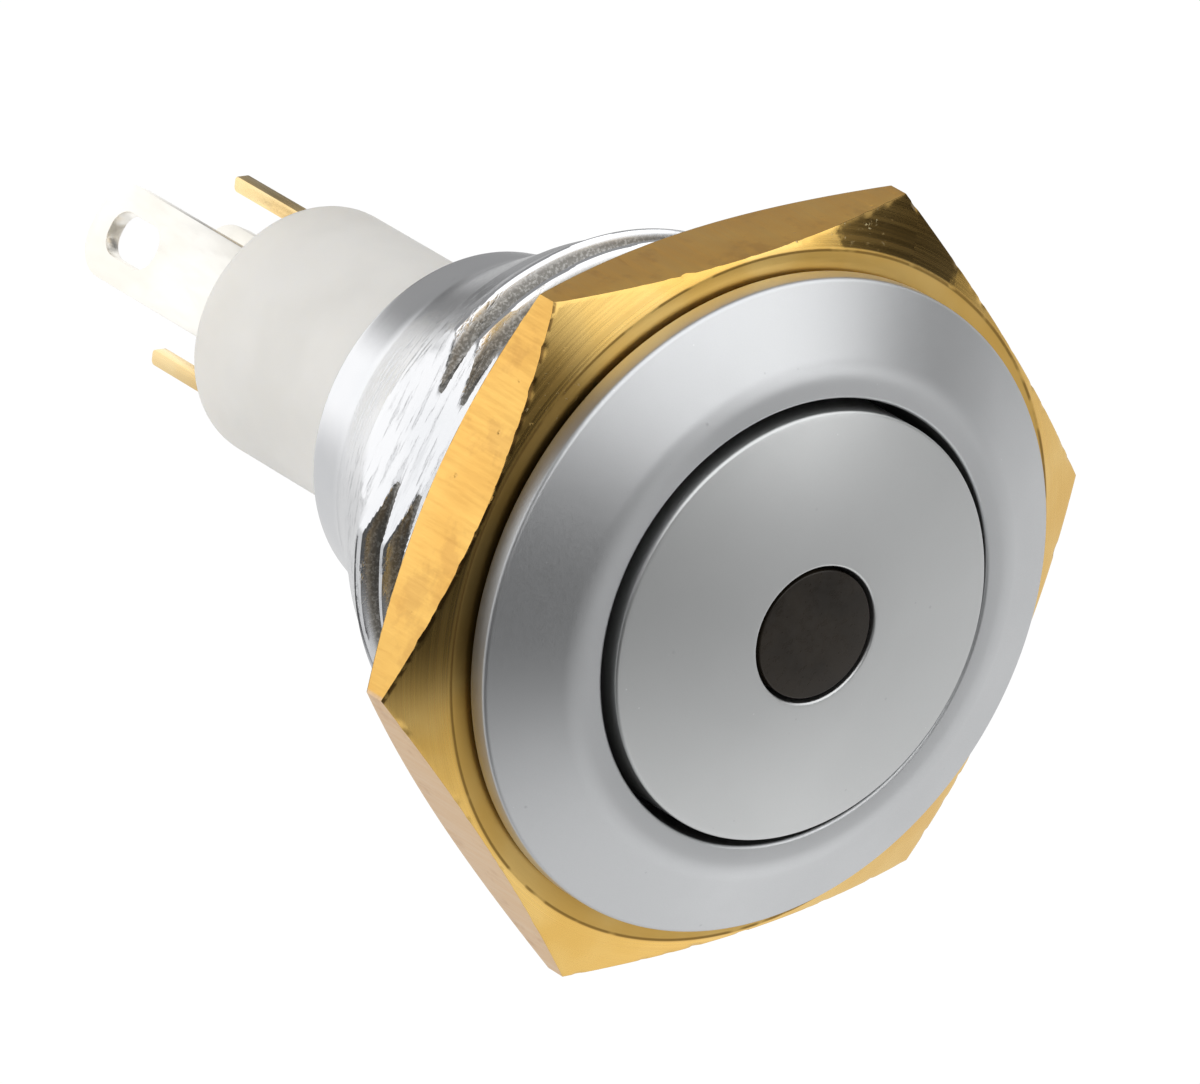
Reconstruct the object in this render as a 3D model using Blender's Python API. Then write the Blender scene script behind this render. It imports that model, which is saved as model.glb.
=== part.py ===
"""A panel-mount metal pushbutton switch with a lamp window, piece by piece.

The switch lies along its own axis. +Z runs out of the front of the button, and the origin
is where that axis crosses the panel seat, the underside of the bezel. The flats on the
barrel and the broad faces of the terminals look along -Y and +Y.
"""
import math

import bmesh
import bpy
from mathutils import Matrix, Vector

MM = 0.001

# Air left between pieces
SEAT_GAP = 0.15 * MM          # between pieces that seat on one another
BUTTON_CLEARANCE = 0.26 * MM  # all round the button in its bezel
SLIDE_CLEARANCE = 0.25 * MM   # all round the pieces that slide inside the barrel
CLOSED_GAP = 0.1 * MM         # left between the contacts when the button is fully pressed

# Bezel: the visible ring in front of the panel
BEZEL_OVERHANG = 1.45 * MM    # past the thread, all round
BEZEL_RIM_HEIGHT = 0.61 * MM
BEZEL_HEIGHT = 1.9 * MM
BEZEL_LAND_WIDTH = 0.85 * MM
BEZEL_LAND_FALL = 0.1 * MM
BEZEL_EDGE_FILLET = 0.14 * MM
BEZEL_SHOULDER_FILLET = 2.0 * MM

# Barrel behind the panel: an M16 thread, then a smooth end rolled in over the body
THREAD_DIAMETER = 15.8 * MM
THREAD_LENGTH = 7.45 * MM
LEAD_IN_DEPTH = 0.3 * MM
LEAD_IN_LENGTH = 0.5 * MM
FLAT_DEPTH = 0.6 * MM
FLATS_START = 0.6 * MM
BARREL_WALL = 1.05 * MM
BARREL_LENGTH = 13.6 * MM
ROLLED_LENGTH = 1.9 * MM
ROLLED_FALL = 0.45 * MM
ROLLED_WALL = 0.6 * MM
ROLLED_LIP = 0.7 * MM
LIP_REACH = 0.61 * MM
ROLLED_FILLET = 0.6 * MM
TAPER_FILLET = 2.4 * MM

# Nut, turned a little from the barrel's flats, as a loose nut stops
NUT_WALL = 1.85 * MM          # from the bore to the middle of a flat
NUT_THICKNESS = 2.5 * MM
NUT_FACE_INSET = 0.1 * MM
NUT_FRONT_CHAMFER = math.radians(26.5)
NUT_REAR_CHAMFER = math.radians(31.0)
NUT_BORE_CLEARANCE = 0.25 * MM
NUT_BORE_CHAMFER = 0.35 * MM
NUT_TURN = math.radians(2.8)

# Button, window and the button's travel
TRAVEL = 1.5 * MM
CLOSING_TRAVEL = 0.9 * MM
BORE_SHOULDER = 0.47 * MM
BUTTON_PROUD = 0.21 * MM
BUTTON_DOME = 0.69 * MM
BUTTON_FACE = 0.9 * MM
BUTTON_DEPTH = 4.1 * MM
BUTTON_SKIRT_WALL = 1.02 * MM
BUTTON_FLANGE = 0.55 * MM
BUTTON_EDGE_FILLET = 0.12 * MM
SEAL_THICKNESS = 0.56 * MM
SEAL_DEPTH = 2.45 * MM
WINDOW_DIAMETER = 3.66 * MM
WINDOW_CLEARANCE = 0.12 * MM
WINDOW_RECESS = 0.14 * MM
WINDOW_FLANGE = 0.6 * MM
WINDOW_FLANGE_WIDTH = 0.65 * MM

# Plunger, springs and contacts
PLUNGER_DISC = 1.3 * MM
HUB_WALL = 1.3 * MM
COLLAR_THICKNESS = 0.6 * MM
TUBE_WALL = 0.5 * MM
CAGE_WALL = 0.4 * MM
HOOK_HEIGHT = 0.4 * MM
HOOK_REACH = 0.5 * MM
RETURN_WIRE = 0.36 * MM
RETURN_TURNS = 5.5
CONTACT_WIRE = 0.3 * MM
CONTACT_TURNS = 3.5
CONTACT_ROOM = 2.55 * MM
BRIDGE_THICKNESS = 0.5 * MM
TIP_DIAMETER = 0.9 * MM
STRIP_THICKNESS = 0.4 * MM
STRIP_WIDTH = 1.6 * MM
STRIP_COVER = 0.72 * MM       # from the strip's leg out to the barrel
STRIP_JOG_DEPTH = 0.55 * MM

# Plastic body
TAIL_LENGTH = 7.9 * MM        # behind the barrel
TAIL_DIAMETER = 7.48 * MM
TAIL_WALL = 0.54 * MM
TAIL_END_WALL = 1.5 * MM
TAIL_FILLET = 0.45 * MM
POST_FOOT = 1.36 * MM

# Lamp and its wiring
LAMP_DIAMETER = 3.0 * MM
LAMP_HEIGHT = 3.45 * MM
LAMP_FLANGE_WIDTH = 0.15 * MM
LAMP_FLANGE = 0.4 * MM
LEAD_DIAMETER = 0.44 * MM
LEAD_SPACING = 1.27 * MM
RESISTOR_DIAMETER = 1.6 * MM
RESISTOR_LENGTH = 3.2 * MM
RESISTOR_INSET = 1.7 * MM     # from its axis out to the cavity's wall
LEAD_STRAIGHT = 0.5 * MM

# Terminals
LUG_WIDTH = 2.8 * MM
LUG_THICKNESS = 0.5 * MM
LUG_REACH = 7.3 * MM
LUG_SPACING = 4.0 * MM
LUG_CORNER = 1.15 * MM
LUG_HOLE_WIDTH = 1.3 * MM
LUG_HOLE_LENGTH = 2.0 * MM
LUG_HOLE_SETBACK = 1.75 * MM
PIN_WIDTH = 0.46 * MM
PIN_THICKNESS = 0.4 * MM
PIN_REACH = 4.9 * MM
PIN_INSET = 0.5 * MM          # from its middle out to the cavity's wall
PIN_INSIDE = 0.6 * MM         # past the end wall, into the cavity
PIN_NECK = 0.05 * MM
PIN_BEVEL = 0.12 * MM

# How finely the round pieces are divided
FINE_SEGMENTS = 64
PLAIN_SEGMENTS = 40
SMALL_SEGMENTS = 16

# Radii, from the thread outwards and inwards
thread_radius = THREAD_DIAMETER / 2
bezel_radius = thread_radius + BEZEL_OVERHANG
flat_distance = thread_radius - FLAT_DEPTH
nut_bore = thread_radius + NUT_BORE_CLEARANCE
nut_flat_distance = nut_bore + NUT_WALL
pocket_radius = thread_radius - BARREL_WALL
bore_radius = pocket_radius - BORE_SHOULDER
button_radius = bore_radius - BUTTON_CLEARANCE
button_inside = button_radius - BUTTON_SKIRT_WALL
flange_radius = pocket_radius - SLIDE_CLEARANCE

# Radii, from the lamp and the plastic tail outwards
window_radius = WINDOW_DIAMETER / 2
window_flange_radius = window_radius + WINDOW_FLANGE_WIDTH
lamp_radius = LAMP_DIAMETER / 2
post_radius = lamp_radius + LAMP_FLANGE_WIDTH
post_bore = LEAD_SPACING / 2 + LEAD_DIAMETER / 2 + SEAT_GAP
tube_inner = post_radius + SLIDE_CLEARANCE
tube_outer = tube_inner + TUBE_WALL
hub_radius = tube_inner + HUB_WALL
tail_radius = TAIL_DIAMETER / 2
cavity_radius = tail_radius - TAIL_WALL
pin_x = cavity_radius - PIN_INSET
resistor_x = cavity_radius - RESISTOR_INSET
lip_radius = tail_radius + SEAT_GAP
rolled_inside = lip_radius + LIP_REACH
rolled_end_radius = rolled_inside + ROLLED_WALL

# Heights, from the front backwards
button_edge = BEZEL_HEIGHT + BUTTON_PROUD
button_apex = button_edge + BUTTON_DOME
dome_radius = (button_radius ** 2 + BUTTON_DOME ** 2) / (2 * BUTTON_DOME)
button_underside = button_edge - BUTTON_FACE
button_bottom = button_edge - BUTTON_DEPTH
flange_top = button_bottom + BUTTON_FLANGE
bore_shoulder_z = flange_top + SEAT_GAP
window_bottom = button_underside - SEAT_GAP - WINDOW_FLANGE
disc_top = button_underside - SEAT_GAP
disc_bottom = disc_top - PLUNGER_DISC
collar_top = button_bottom - SEAT_GAP
collar_bottom = collar_top - COLLAR_THICKNESS
bridge_top = collar_bottom - CONTACT_ROOM
bridge_bottom = bridge_top - BRIDGE_THICKNESS
hook_top = bridge_bottom - SEAT_GAP
hook_bottom = hook_top - HOOK_HEIGHT
floor_z = hook_bottom - TRAVEL - SEAT_GAP
pad_bottom = floor_z + SEAT_GAP
pad_top = pad_bottom + STRIP_THICKNESS
tip_bottom = pad_top + SEAT_GAP
tip_top = bridge_bottom - CLOSING_TRAVEL - CLOSED_GAP
jog_top = floor_z - STRIP_JOG_DEPTH
jog_bottom = jog_top - STRIP_THICKNESS
lamp_top = window_bottom - TRAVEL - SEAT_GAP
lamp_bottom = lamp_top - LAMP_HEIGHT
post_top = lamp_bottom - SEAT_GAP
cavity_start = jog_bottom - POST_FOOT
tail_end = -BARREL_LENGTH - TAIL_LENGTH
cavity_end = tail_end + TAIL_END_WALL
pin_top = cavity_end + PIN_INSIDE
resistor_top = (cavity_start + pin_top + RESISTOR_LENGTH) / 2
resistor_bottom = resistor_top - RESISTOR_LENGTH
lug_start = tail_end - SEAT_GAP

# The barrel's tapered end, from the thread to the rolled end
taper_start = -THREAD_LENGTH - LEAD_IN_LENGTH
taper_end = -BARREL_LENGTH + ROLLED_LENGTH
taper_start_radius = thread_radius - LEAD_IN_DEPTH
taper_end_radius = rolled_end_radius + ROLLED_FALL
taper_slope = (taper_start_radius - taper_end_radius) / (taper_start - taper_end)
taper_offset = ROLLED_WALL * math.hypot(1, taper_slope)
lip_top = -BARREL_LENGTH + ROLLED_LIP


def inside_radius(z):
    """Radius of the barrel's bore behind its shoulder, where it follows the tapered end."""
    tapered = taper_start_radius - taper_offset - taper_slope * (taper_start - z)
    return min(pocket_radius, tapered)


def taper_inside_start():
    """Height at which the bore leaves the straight pocket."""
    spare = taper_start_radius - taper_offset - pocket_radius
    return taper_start - spare / taper_slope


# Radii of the contact parts, from the tapered end inwards
pad_outer = inside_radius(pad_bottom) - SLIDE_CLEARANCE
leg_outer = inside_radius(jog_bottom) - STRIP_COVER
leg_inner = leg_outer - STRIP_THICKNESS
tip_place = (leg_inner + pad_outer) / 2
hook_radius = leg_inner - SEAT_GAP
cage_outer = hook_radius - HOOK_REACH
cage_inner = cage_outer - CAGE_WALL
bridge_inner = cage_outer + SLIDE_CLEARANCE
contact_spring_radius = (bridge_inner + flange_radius) / 2
return_radius = (tube_outer + cage_inner) / 2


def dome_height(radius):
    """Height of the button's domed face at a distance from the axis."""
    return button_apex - dome_radius + math.sqrt(dome_radius ** 2 - radius ** 2)


def clear_scene():
    for obj in list(bpy.data.objects):
        bpy.data.objects.remove(obj)


def make_material(name, color, roughness, metallic=0.0, transmission=0.0):
    material = bpy.data.materials.new(name)
    material.use_nodes = True
    shader = material.node_tree.nodes["Principled BSDF"]
    shader.inputs["Base Color"].default_value = (*color, 1.0)
    shader.inputs["Roughness"].default_value = roughness
    shader.inputs["Metallic"].default_value = metallic
    shader.inputs["Transmission Weight"].default_value = transmission
    material.diffuse_color = (*color, 1.0)
    return material


def add_object(name, bm, material):
    """Turn a bmesh into a smooth-shaded object with its creases kept sharp."""
    mesh = bpy.data.meshes.new(name)
    bm.to_mesh(mesh)
    bm.free()
    mesh.materials.append(material)
    mesh.shade_smooth()
    mesh.set_sharp_from_angle(angle=math.radians(30))
    obj = bpy.data.objects.new(name, mesh)
    bpy.context.scene.collection.objects.link(obj)
    return obj


def rounded(corners, arc_steps=3):
    """Points of a closed outline; each corner is (across, height, fillet radius)."""
    points = []
    for index, (across, height, fillet) in enumerate(corners):
        here = Vector((across, height))
        if not fillet:
            points.append(here)
            continue
        to_last = Vector(corners[index - 1][:2]) - here
        to_next = Vector(corners[(index + 1) % len(corners)][:2]) - here
        half_angle = to_last.angle(to_next) / 2
        longest = 0.45 * min(to_last.length, to_next.length)
        reach = min(fillet / math.tan(half_angle), longest)
        to_last.normalize()
        to_next.normalize()
        centre = here + (to_last + to_next).normalized() * reach / math.cos(half_angle)
        start = here + to_last * reach - centre
        end = here + to_next * reach - centre
        sweep = start.angle_signed(end)
        for step in range(arc_steps + 1):
            turn = Matrix.Rotation(-sweep * step / arc_steps, 2)
            points.append(centre + turn @ start)
    return points


def turned(name, outline, material, segments=PLAIN_SEGMENTS):
    """Revolve a closed outline of (radius, height) points about Z."""
    bm = bmesh.new()
    verts = [bm.verts.new((point[0], 0.0, point[1])) for point in outline]
    edges = []
    for first, second in zip(verts, verts[1:] + verts[:1]):
        if first.co.x > 0 or second.co.x > 0:
            edges.append(bm.edges.new((first, second)))
    bmesh.ops.spin(bm, geom=verts + edges, cent=(0, 0, 0), axis=(0, 0, 1),
                   angle=2 * math.pi, steps=segments, use_merge=True)
    bmesh.ops.remove_doubles(bm, verts=bm.verts, dist=0.0001 * MM)
    bmesh.ops.recalc_face_normals(bm, faces=bm.faces)
    return add_object(name, bm, material)


def extruded(name, outline, start, end, to_world, material):
    """Extrude a flat outline from start to end; to_world maps (u, v, depth) to a point."""
    bm = bmesh.new()
    verts = [bm.verts.new(to_world(point[0], point[1], start)) for point in outline]
    face = bm.faces.new(verts)
    sweep = Vector(to_world(0, 0, end)) - Vector(to_world(0, 0, start))
    extrusion = bmesh.ops.extrude_face_region(bm, geom=[face])
    moved = [item for item in extrusion["geom"] if isinstance(item, bmesh.types.BMVert)]
    bmesh.ops.translate(bm, verts=moved, vec=sweep)
    bmesh.ops.recalc_face_normals(bm, faces=bm.faces)
    return add_object(name, bm, material)


def across_x(u, v, depth):
    """Outlines of (Y, Z) points, extruded along X."""
    return (depth, u, v)


def across_y(u, v, depth):
    """Outlines of (X, Z) points, extruded along Y."""
    return (u, depth, v)


def along_z(u, v, depth):
    """Outlines of (X, Y) points, extruded along Z."""
    return (u, v, depth)


def combine(target, tool, operation="DIFFERENCE"):
    """Cut a piece with a hidden tool solid, or join the tool to it."""
    tool.hide_render = True
    tool.display_type = "WIRE"
    modifier = target.modifiers.new(tool.name, "BOOLEAN")
    modifier.operation = operation
    modifier.solver = "EXACT"
    modifier.object = tool


def wire(name, points, diameter, material):
    """Round wire along a list of points, with closed ends."""
    curve = bpy.data.curves.new(name, "CURVE")
    curve.dimensions = "3D"
    curve.bevel_depth = diameter / 2
    curve.bevel_resolution = 1
    curve.use_fill_caps = True
    spline = curve.splines.new("POLY")
    spline.points.add(len(points) - 1)
    for spline_point, point in zip(spline.points, points):
        spline_point.co = (*point, 1.0)
    curve.materials.append(material)
    obj = bpy.data.objects.new(name, curve)
    bpy.context.scene.collection.objects.link(obj)
    return obj


def coil_spring(name, radius, diameter, bottom, top, turns, material):
    """Compression spring whose first and last turns lie almost flat."""
    points_per_turn = 14
    low = bottom + diameter / 2
    high = top - diameter / 2
    closed_pitch = 1.25 * diameter
    open_pitch = (high - low - 2 * closed_pitch) / (turns - 2)
    points = []
    for step in range(round(turns * points_per_turn) + 1):
        turn = step / points_per_turn
        rise = closed_pitch * min(turn, 1)
        rise += open_pitch * min(max(turn - 1, 0), turns - 2)
        rise += closed_pitch * max(turn - turns + 1, 0)
        angle = 2 * math.pi * turn
        points.append((radius * math.cos(angle), radius * math.sin(angle), low + rise))
    return wire(name, points, diameter, material)


def joint_parent(name, children):
    """Parent pieces that move together to an empty on their joint's axis."""
    empty = bpy.data.objects.new(name, None)
    bpy.context.scene.collection.objects.link(empty)
    for child in children:
        child.parent = empty


def build_barrel(material):
    """Bezel, threaded barrel and rolled end: one casting with a stepped bore."""
    land_radius = bore_radius + BEZEL_LAND_WIDTH
    inner_start = taper_inside_start()
    outline = rounded([
        (thread_radius, 0, 0),
        (bezel_radius, 0, 0),
        (bezel_radius, BEZEL_RIM_HEIGHT, BEZEL_EDGE_FILLET),
        (land_radius, BEZEL_HEIGHT - BEZEL_LAND_FALL, BEZEL_SHOULDER_FILLET),
        (bore_radius, BEZEL_HEIGHT, BEZEL_EDGE_FILLET),
        (bore_radius, bore_shoulder_z, 0),
        (pocket_radius, bore_shoulder_z, 0),
        (pocket_radius, inner_start, 0),
        (inside_radius(taper_end), taper_end, 0),
        (rolled_inside, lip_top, 0),
        (lip_radius, lip_top, 0),
        (lip_radius, -BARREL_LENGTH, 0),
        (rolled_end_radius, -BARREL_LENGTH, ROLLED_FILLET),
        (taper_end_radius, taper_end, TAPER_FILLET),
        (taper_start_radius, taper_start, 0),
        (thread_radius, -THREAD_LENGTH, 0),
    ])
    barrel = turned("bezel_barrel", outline, material, FINE_SEGMENTS)
    for side, name in ((-1, "flat_tool_near"), (1, "flat_tool_far")):
        face = side * flat_distance
        beyond = side * (bezel_radius + BEZEL_OVERHANG)
        outline = [(-bezel_radius, face), (bezel_radius, face),
                   (bezel_radius, beyond), (-bezel_radius, beyond)]
        tool = extruded(name, outline, taper_end, -FLATS_START, along_z, material)
        combine(barrel, tool)
    return barrel


def build_nut(material):
    """Hexagon nut: a double-chamfered round blank cut to six flats."""
    corner_radius = nut_flat_distance / math.cos(math.pi / 6)
    face_radius = nut_flat_distance - NUT_FACE_INSET
    blank_radius = corner_radius + BEZEL_EDGE_FILLET
    front_drop = (blank_radius - face_radius) * math.tan(NUT_FRONT_CHAMFER)
    rear_drop = (blank_radius - face_radius) * math.tan(NUT_REAR_CHAMFER)
    front = -SEAT_GAP
    rear = front - NUT_THICKNESS
    outline = [
        (nut_bore + NUT_BORE_CHAMFER, front),
        (face_radius, front),
        (blank_radius, front - front_drop),
        (blank_radius, rear + rear_drop),
        (face_radius, rear),
        (nut_bore + NUT_BORE_CHAMFER, rear),
        (nut_bore, rear + NUT_BORE_CHAMFER),
        (nut_bore, front - NUT_BORE_CHAMFER),
    ]
    nut = turned("hex_nut", outline, material, FINE_SEGMENTS)
    hexagon = []
    for corner in range(6):
        angle = NUT_TURN + math.pi / 3 * corner
        hexagon.append((corner_radius * math.cos(angle), corner_radius * math.sin(angle)))
    tool = extruded("hexagon_tool", hexagon, rear - NUT_THICKNESS, front + NUT_THICKNESS,
                    along_z, material)
    combine(nut, tool, "INTERSECT")
    return nut


def build_button(material):
    """Domed button cap: face with the window's hole, skirt, seal groove and stop flange."""
    hole_radius = window_radius + WINDOW_CLEARANCE
    seal_z = button_edge - SEAL_DEPTH
    groove_floor = button_radius - SEAL_THICKNESS
    groove_half = SEAL_THICKNESS / 2 + SEAT_GAP
    face_steps = 4
    face = []
    for step in range(1, face_steps):
        radius = hole_radius + (button_radius - hole_radius) * step / face_steps
        face.append((radius, dome_height(radius), 0))
    outline = rounded([
        (hole_radius, button_underside, 0),
        (hole_radius, dome_height(hole_radius), BUTTON_EDGE_FILLET),
        *face,
        (button_radius, button_edge, BUTTON_EDGE_FILLET),
        (button_radius, seal_z + groove_half, 0),
        (groove_floor, seal_z + groove_half, 0),
        (groove_floor, seal_z - groove_half, 0),
        (button_radius, seal_z - groove_half, 0),
        (button_radius, flange_top, 0),
        (flange_radius, flange_top, 0),
        (flange_radius, button_bottom, 0),
        (button_inside, button_bottom, 0),
        (button_inside, button_underside, 0),
    ], arc_steps=2)
    return turned("button_cap", outline, material, FINE_SEGMENTS)


def build_seal(material):
    """Rubber ring in the button's groove, bearing on the bezel's bore."""
    section = SEAL_THICKNESS / 2
    middle = (button_radius + bore_radius) / 2 - section
    seal_z = button_edge - SEAL_DEPTH
    outline = []
    for step in range(8):
        angle = math.pi / 4 * (step + 0.5)
        outline.append((middle + section * math.cos(angle), seal_z + section * math.sin(angle)))
    return turned("button_seal", outline, material)


def build_window(material):
    """Smoked lens: a plug in the button's hole with a flange behind it."""
    rim = dome_height(window_radius) - WINDOW_RECESS
    outline = rounded([
        (0, window_bottom, 0),
        (window_flange_radius, window_bottom, 0),
        (window_flange_radius, window_bottom + WINDOW_FLANGE, 0),
        (window_radius, window_bottom + WINDOW_FLANGE, 0),
        (window_radius, rim, BUTTON_EDGE_FILLET),
        (0, rim + BUTTON_EDGE_FILLET / 3, 0),
    ])
    return turned("button_window", outline, material)


def build_plunger(material):
    """Carrier pressed into the button: disc, spring collar, guide tube and hooked cage."""
    outline = rounded([
        (tube_inner, hook_bottom, 0),
        (tube_inner, window_bottom - SEAT_GAP, 0),
        (window_flange_radius + SEAT_GAP, window_bottom - SEAT_GAP, 0),
        (window_flange_radius + SEAT_GAP, disc_top, 0),
        (button_inside - SEAT_GAP, disc_top, 0),
        (button_inside - SEAT_GAP, disc_bottom, 0),
        (hub_radius, disc_bottom, 0),
        (hub_radius, collar_top, 0),
        (flange_radius, collar_top, 0),
        (flange_radius, collar_bottom, 0),
        (cage_outer, collar_bottom, 0),
        (cage_outer, hook_top, 0),
        (hook_radius, hook_top, 0),
        (cage_outer + SEAT_GAP, hook_bottom, 0),
        (cage_inner, hook_bottom, 0),
        (cage_inner, collar_bottom, 0),
        (tube_outer, collar_bottom, 0),
        (tube_outer, hook_bottom, 0),
    ])
    return turned("plunger", outline, material)


def contact_outline(gap):
    """Side view of a contact strip: pad, leg, jog and tail, grown all round by a gap."""
    middle = LUG_SPACING / 2
    inner = middle - STRIP_THICKNESS / 2 - gap
    outer = middle + STRIP_THICKNESS / 2 + gap
    foot = lug_start - STRIP_WIDTH / 2
    return [
        (leg_inner - gap, pad_top + gap),
        (pad_outer + gap, pad_top + gap),
        (pad_outer + gap, pad_bottom - gap),
        (leg_outer + gap, pad_bottom - gap),
        (leg_outer + gap, jog_bottom - gap),
        (outer, jog_bottom - gap),
        (outer, foot - gap),
        (inner, foot - gap),
        (inner, jog_top + gap),
        (leg_inner - gap, jog_top + gap),
    ]


def lug_outline():
    """Broad face of a solder lug, with its rounded end."""
    half = LUG_WIDTH / 2
    tip = tail_end - LUG_REACH
    return rounded([
        (-half, lug_start, 0),
        (half, lug_start, 0),
        (half, tip, LUG_CORNER),
        (-half, tip, LUG_CORNER),
    ], arc_steps=6)


def lug_hole_outline():
    """Oblong hole for the soldered wire."""
    half = LUG_HOLE_WIDTH / 2
    middle = tail_end - LUG_REACH + LUG_HOLE_SETBACK
    long_half = LUG_HOLE_LENGTH / 2
    return rounded([
        (-half, middle + long_half, half),
        (half, middle + long_half, half),
        (half, middle - long_half, half),
        (-half, middle - long_half, half),
    ])


def build_fixed_contact(name, side, metal):
    """Stamped strip from the contact's pad to the solder lug."""
    outline = [(side * y, z) for y, z in contact_outline(0)]
    strip = extruded(name, outline, -STRIP_WIDTH / 2, STRIP_WIDTH / 2, across_x, metal)
    middle = side * LUG_SPACING / 2
    half = LUG_THICKNESS / 2
    lug = extruded(name + "_lug_tool", lug_outline(), middle - half, middle + half,
                   across_y, metal)
    hole = extruded(name + "_hole_tool", lug_hole_outline(), middle - LUG_THICKNESS,
                    middle + LUG_THICKNESS, across_y, metal)
    combine(strip, lug, "UNION")
    combine(strip, hole)
    return strip


def build_contact_tip(name, side, material):
    """Contact button on a strip's pad."""
    outline = rounded([
        (0, tip_bottom, 0),
        (TIP_DIAMETER / 2, tip_bottom, 0),
        (TIP_DIAMETER / 2, tip_top, SEAT_GAP),
        (0, tip_top, 0),
    ], arc_steps=2)
    tip = turned(name, outline, material, SMALL_SEGMENTS)
    tip.location.y = side * tip_place
    return tip


def build_bridge(material):
    """Flat ring that joins the two fixed contacts when it comes down on their tips."""
    outline = [
        (bridge_inner, bridge_bottom),
        (flange_radius, bridge_bottom),
        (flange_radius, bridge_top),
        (bridge_inner, bridge_top),
    ]
    return turned("moving_contact", outline, material)


def rectangle(middle_x, width, bottom, top):
    """Corners of an upright rectangle."""
    half = width / 2
    return [(middle_x - half, bottom), (middle_x + half, bottom),
            (middle_x + half, top), (middle_x - half, top)]


def build_pin(name, side, material):
    """Lamp pin: a narrow blade outside the body on a slimmer shank inside it."""
    middle = side * pin_x
    half = PIN_THICKNESS / 2
    shank_width = PIN_WIDTH - 2 * PIN_NECK
    shank_half = half - PIN_NECK
    tip = tail_end - PIN_REACH
    shank = rectangle(middle, shank_width, lug_start - PIN_WIDTH, pin_top)
    pin = extruded(name, shank, -shank_half, shank_half, across_y, material)
    left = middle - PIN_WIDTH / 2
    right = middle + PIN_WIDTH / 2
    blade_outline = rounded([
        (left, lug_start, 0),
        (right, lug_start, 0),
        (right, tip, PIN_BEVEL),
        (left, tip, PIN_BEVEL),
    ], arc_steps=2)
    blade = extruded(name + "_blade_tool", blade_outline, -half, half, across_y, material)
    combine(pin, blade, "UNION")
    return pin


def build_base(material):
    """Moulded plastic body: contact floor, lamp post, tapered shoulder and hollow tail."""
    gap_across = SEAT_GAP * math.hypot(1, taper_slope)
    corner_z = min(floor_z, taper_inside_start())
    outline = rounded([
        (post_bore, post_top, 0),
        (post_radius, post_top, 0),
        (post_radius, floor_z, 0),
        (inside_radius(floor_z) - gap_across, floor_z, 0),
        (inside_radius(corner_z) - gap_across, corner_z, 0),
        (inside_radius(taper_end) - gap_across, taper_end, 0),
        (rolled_inside - gap_across, lip_top + SEAT_GAP, 0),
        (tail_radius, lip_top + SEAT_GAP, 0),
        (tail_radius, tail_end, TAIL_FILLET),
        (0, tail_end, 0),
        (0, cavity_end, 0),
        (cavity_radius, cavity_end, 0),
        (cavity_radius, cavity_start, 0),
        (post_bore, cavity_start, 0),
    ])
    base = turned("terminal_base", outline, material)
    slot_half = STRIP_WIDTH / 2 + SEAT_GAP
    for side, end in ((-1, "near"), (1, "far")):
        slot_outline = [(side * y, z) for y, z in contact_outline(SEAT_GAP)]
        slot = extruded("contact_slot_tool_" + end, slot_outline, -slot_half, slot_half,
                        across_x, material)
        combine(base, slot)
    for side, end in ((-1, "cathode"), (1, "anode")):
        hole = rectangle(side * pin_x, PIN_WIDTH - 2 * PIN_NECK + 2 * SEAT_GAP,
                         tail_end - TAIL_END_WALL, cavity_end + TAIL_END_WALL)
        half = PIN_THICKNESS / 2 - PIN_NECK + SEAT_GAP
        tool = extruded("pin_slot_tool_" + end, hole, -half, half, across_y, material)
        combine(base, tool)
    return base


def build_lamp(material):
    """Round-topped lamp with its base flange, seated on the body's post."""
    crown_z = lamp_top - lamp_radius
    crown_steps = 5
    crown = []
    for step in range(crown_steps + 1):
        angle = math.pi / 2 * step / crown_steps
        crown.append((lamp_radius * math.cos(angle), crown_z + lamp_radius * math.sin(angle)))
    crown[-1] = (0, lamp_top)
    outline = [
        (0, lamp_bottom),
        (post_radius, lamp_bottom),
        (post_radius, lamp_bottom + LAMP_FLANGE),
        (lamp_radius, lamp_bottom + LAMP_FLANGE),
        *crown,
    ]
    return turned("led_lamp", outline, material, SMALL_SEGMENTS)


def build_resistor(material):
    """Series resistor with its two wider end caps."""
    top = resistor_top
    bottom = resistor_bottom
    radius = RESISTOR_DIAMETER / 2
    waist = radius - SEAT_GAP
    cap = RESISTOR_LENGTH / 4
    outline = rounded([
        (0, bottom, 0),
        (radius, bottom, SEAT_GAP),
        (radius, bottom + cap, SEAT_GAP),
        (waist, bottom + cap + SEAT_GAP, 0),
        (waist, top - cap - SEAT_GAP, 0),
        (radius, top - cap, SEAT_GAP),
        (radius, top, SEAT_GAP),
        (0, top, 0),
    ], arc_steps=2)
    resistor = turned("led_resistor", outline, material, SMALL_SEGMENTS)
    resistor.location.x = resistor_x
    return resistor


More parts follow.
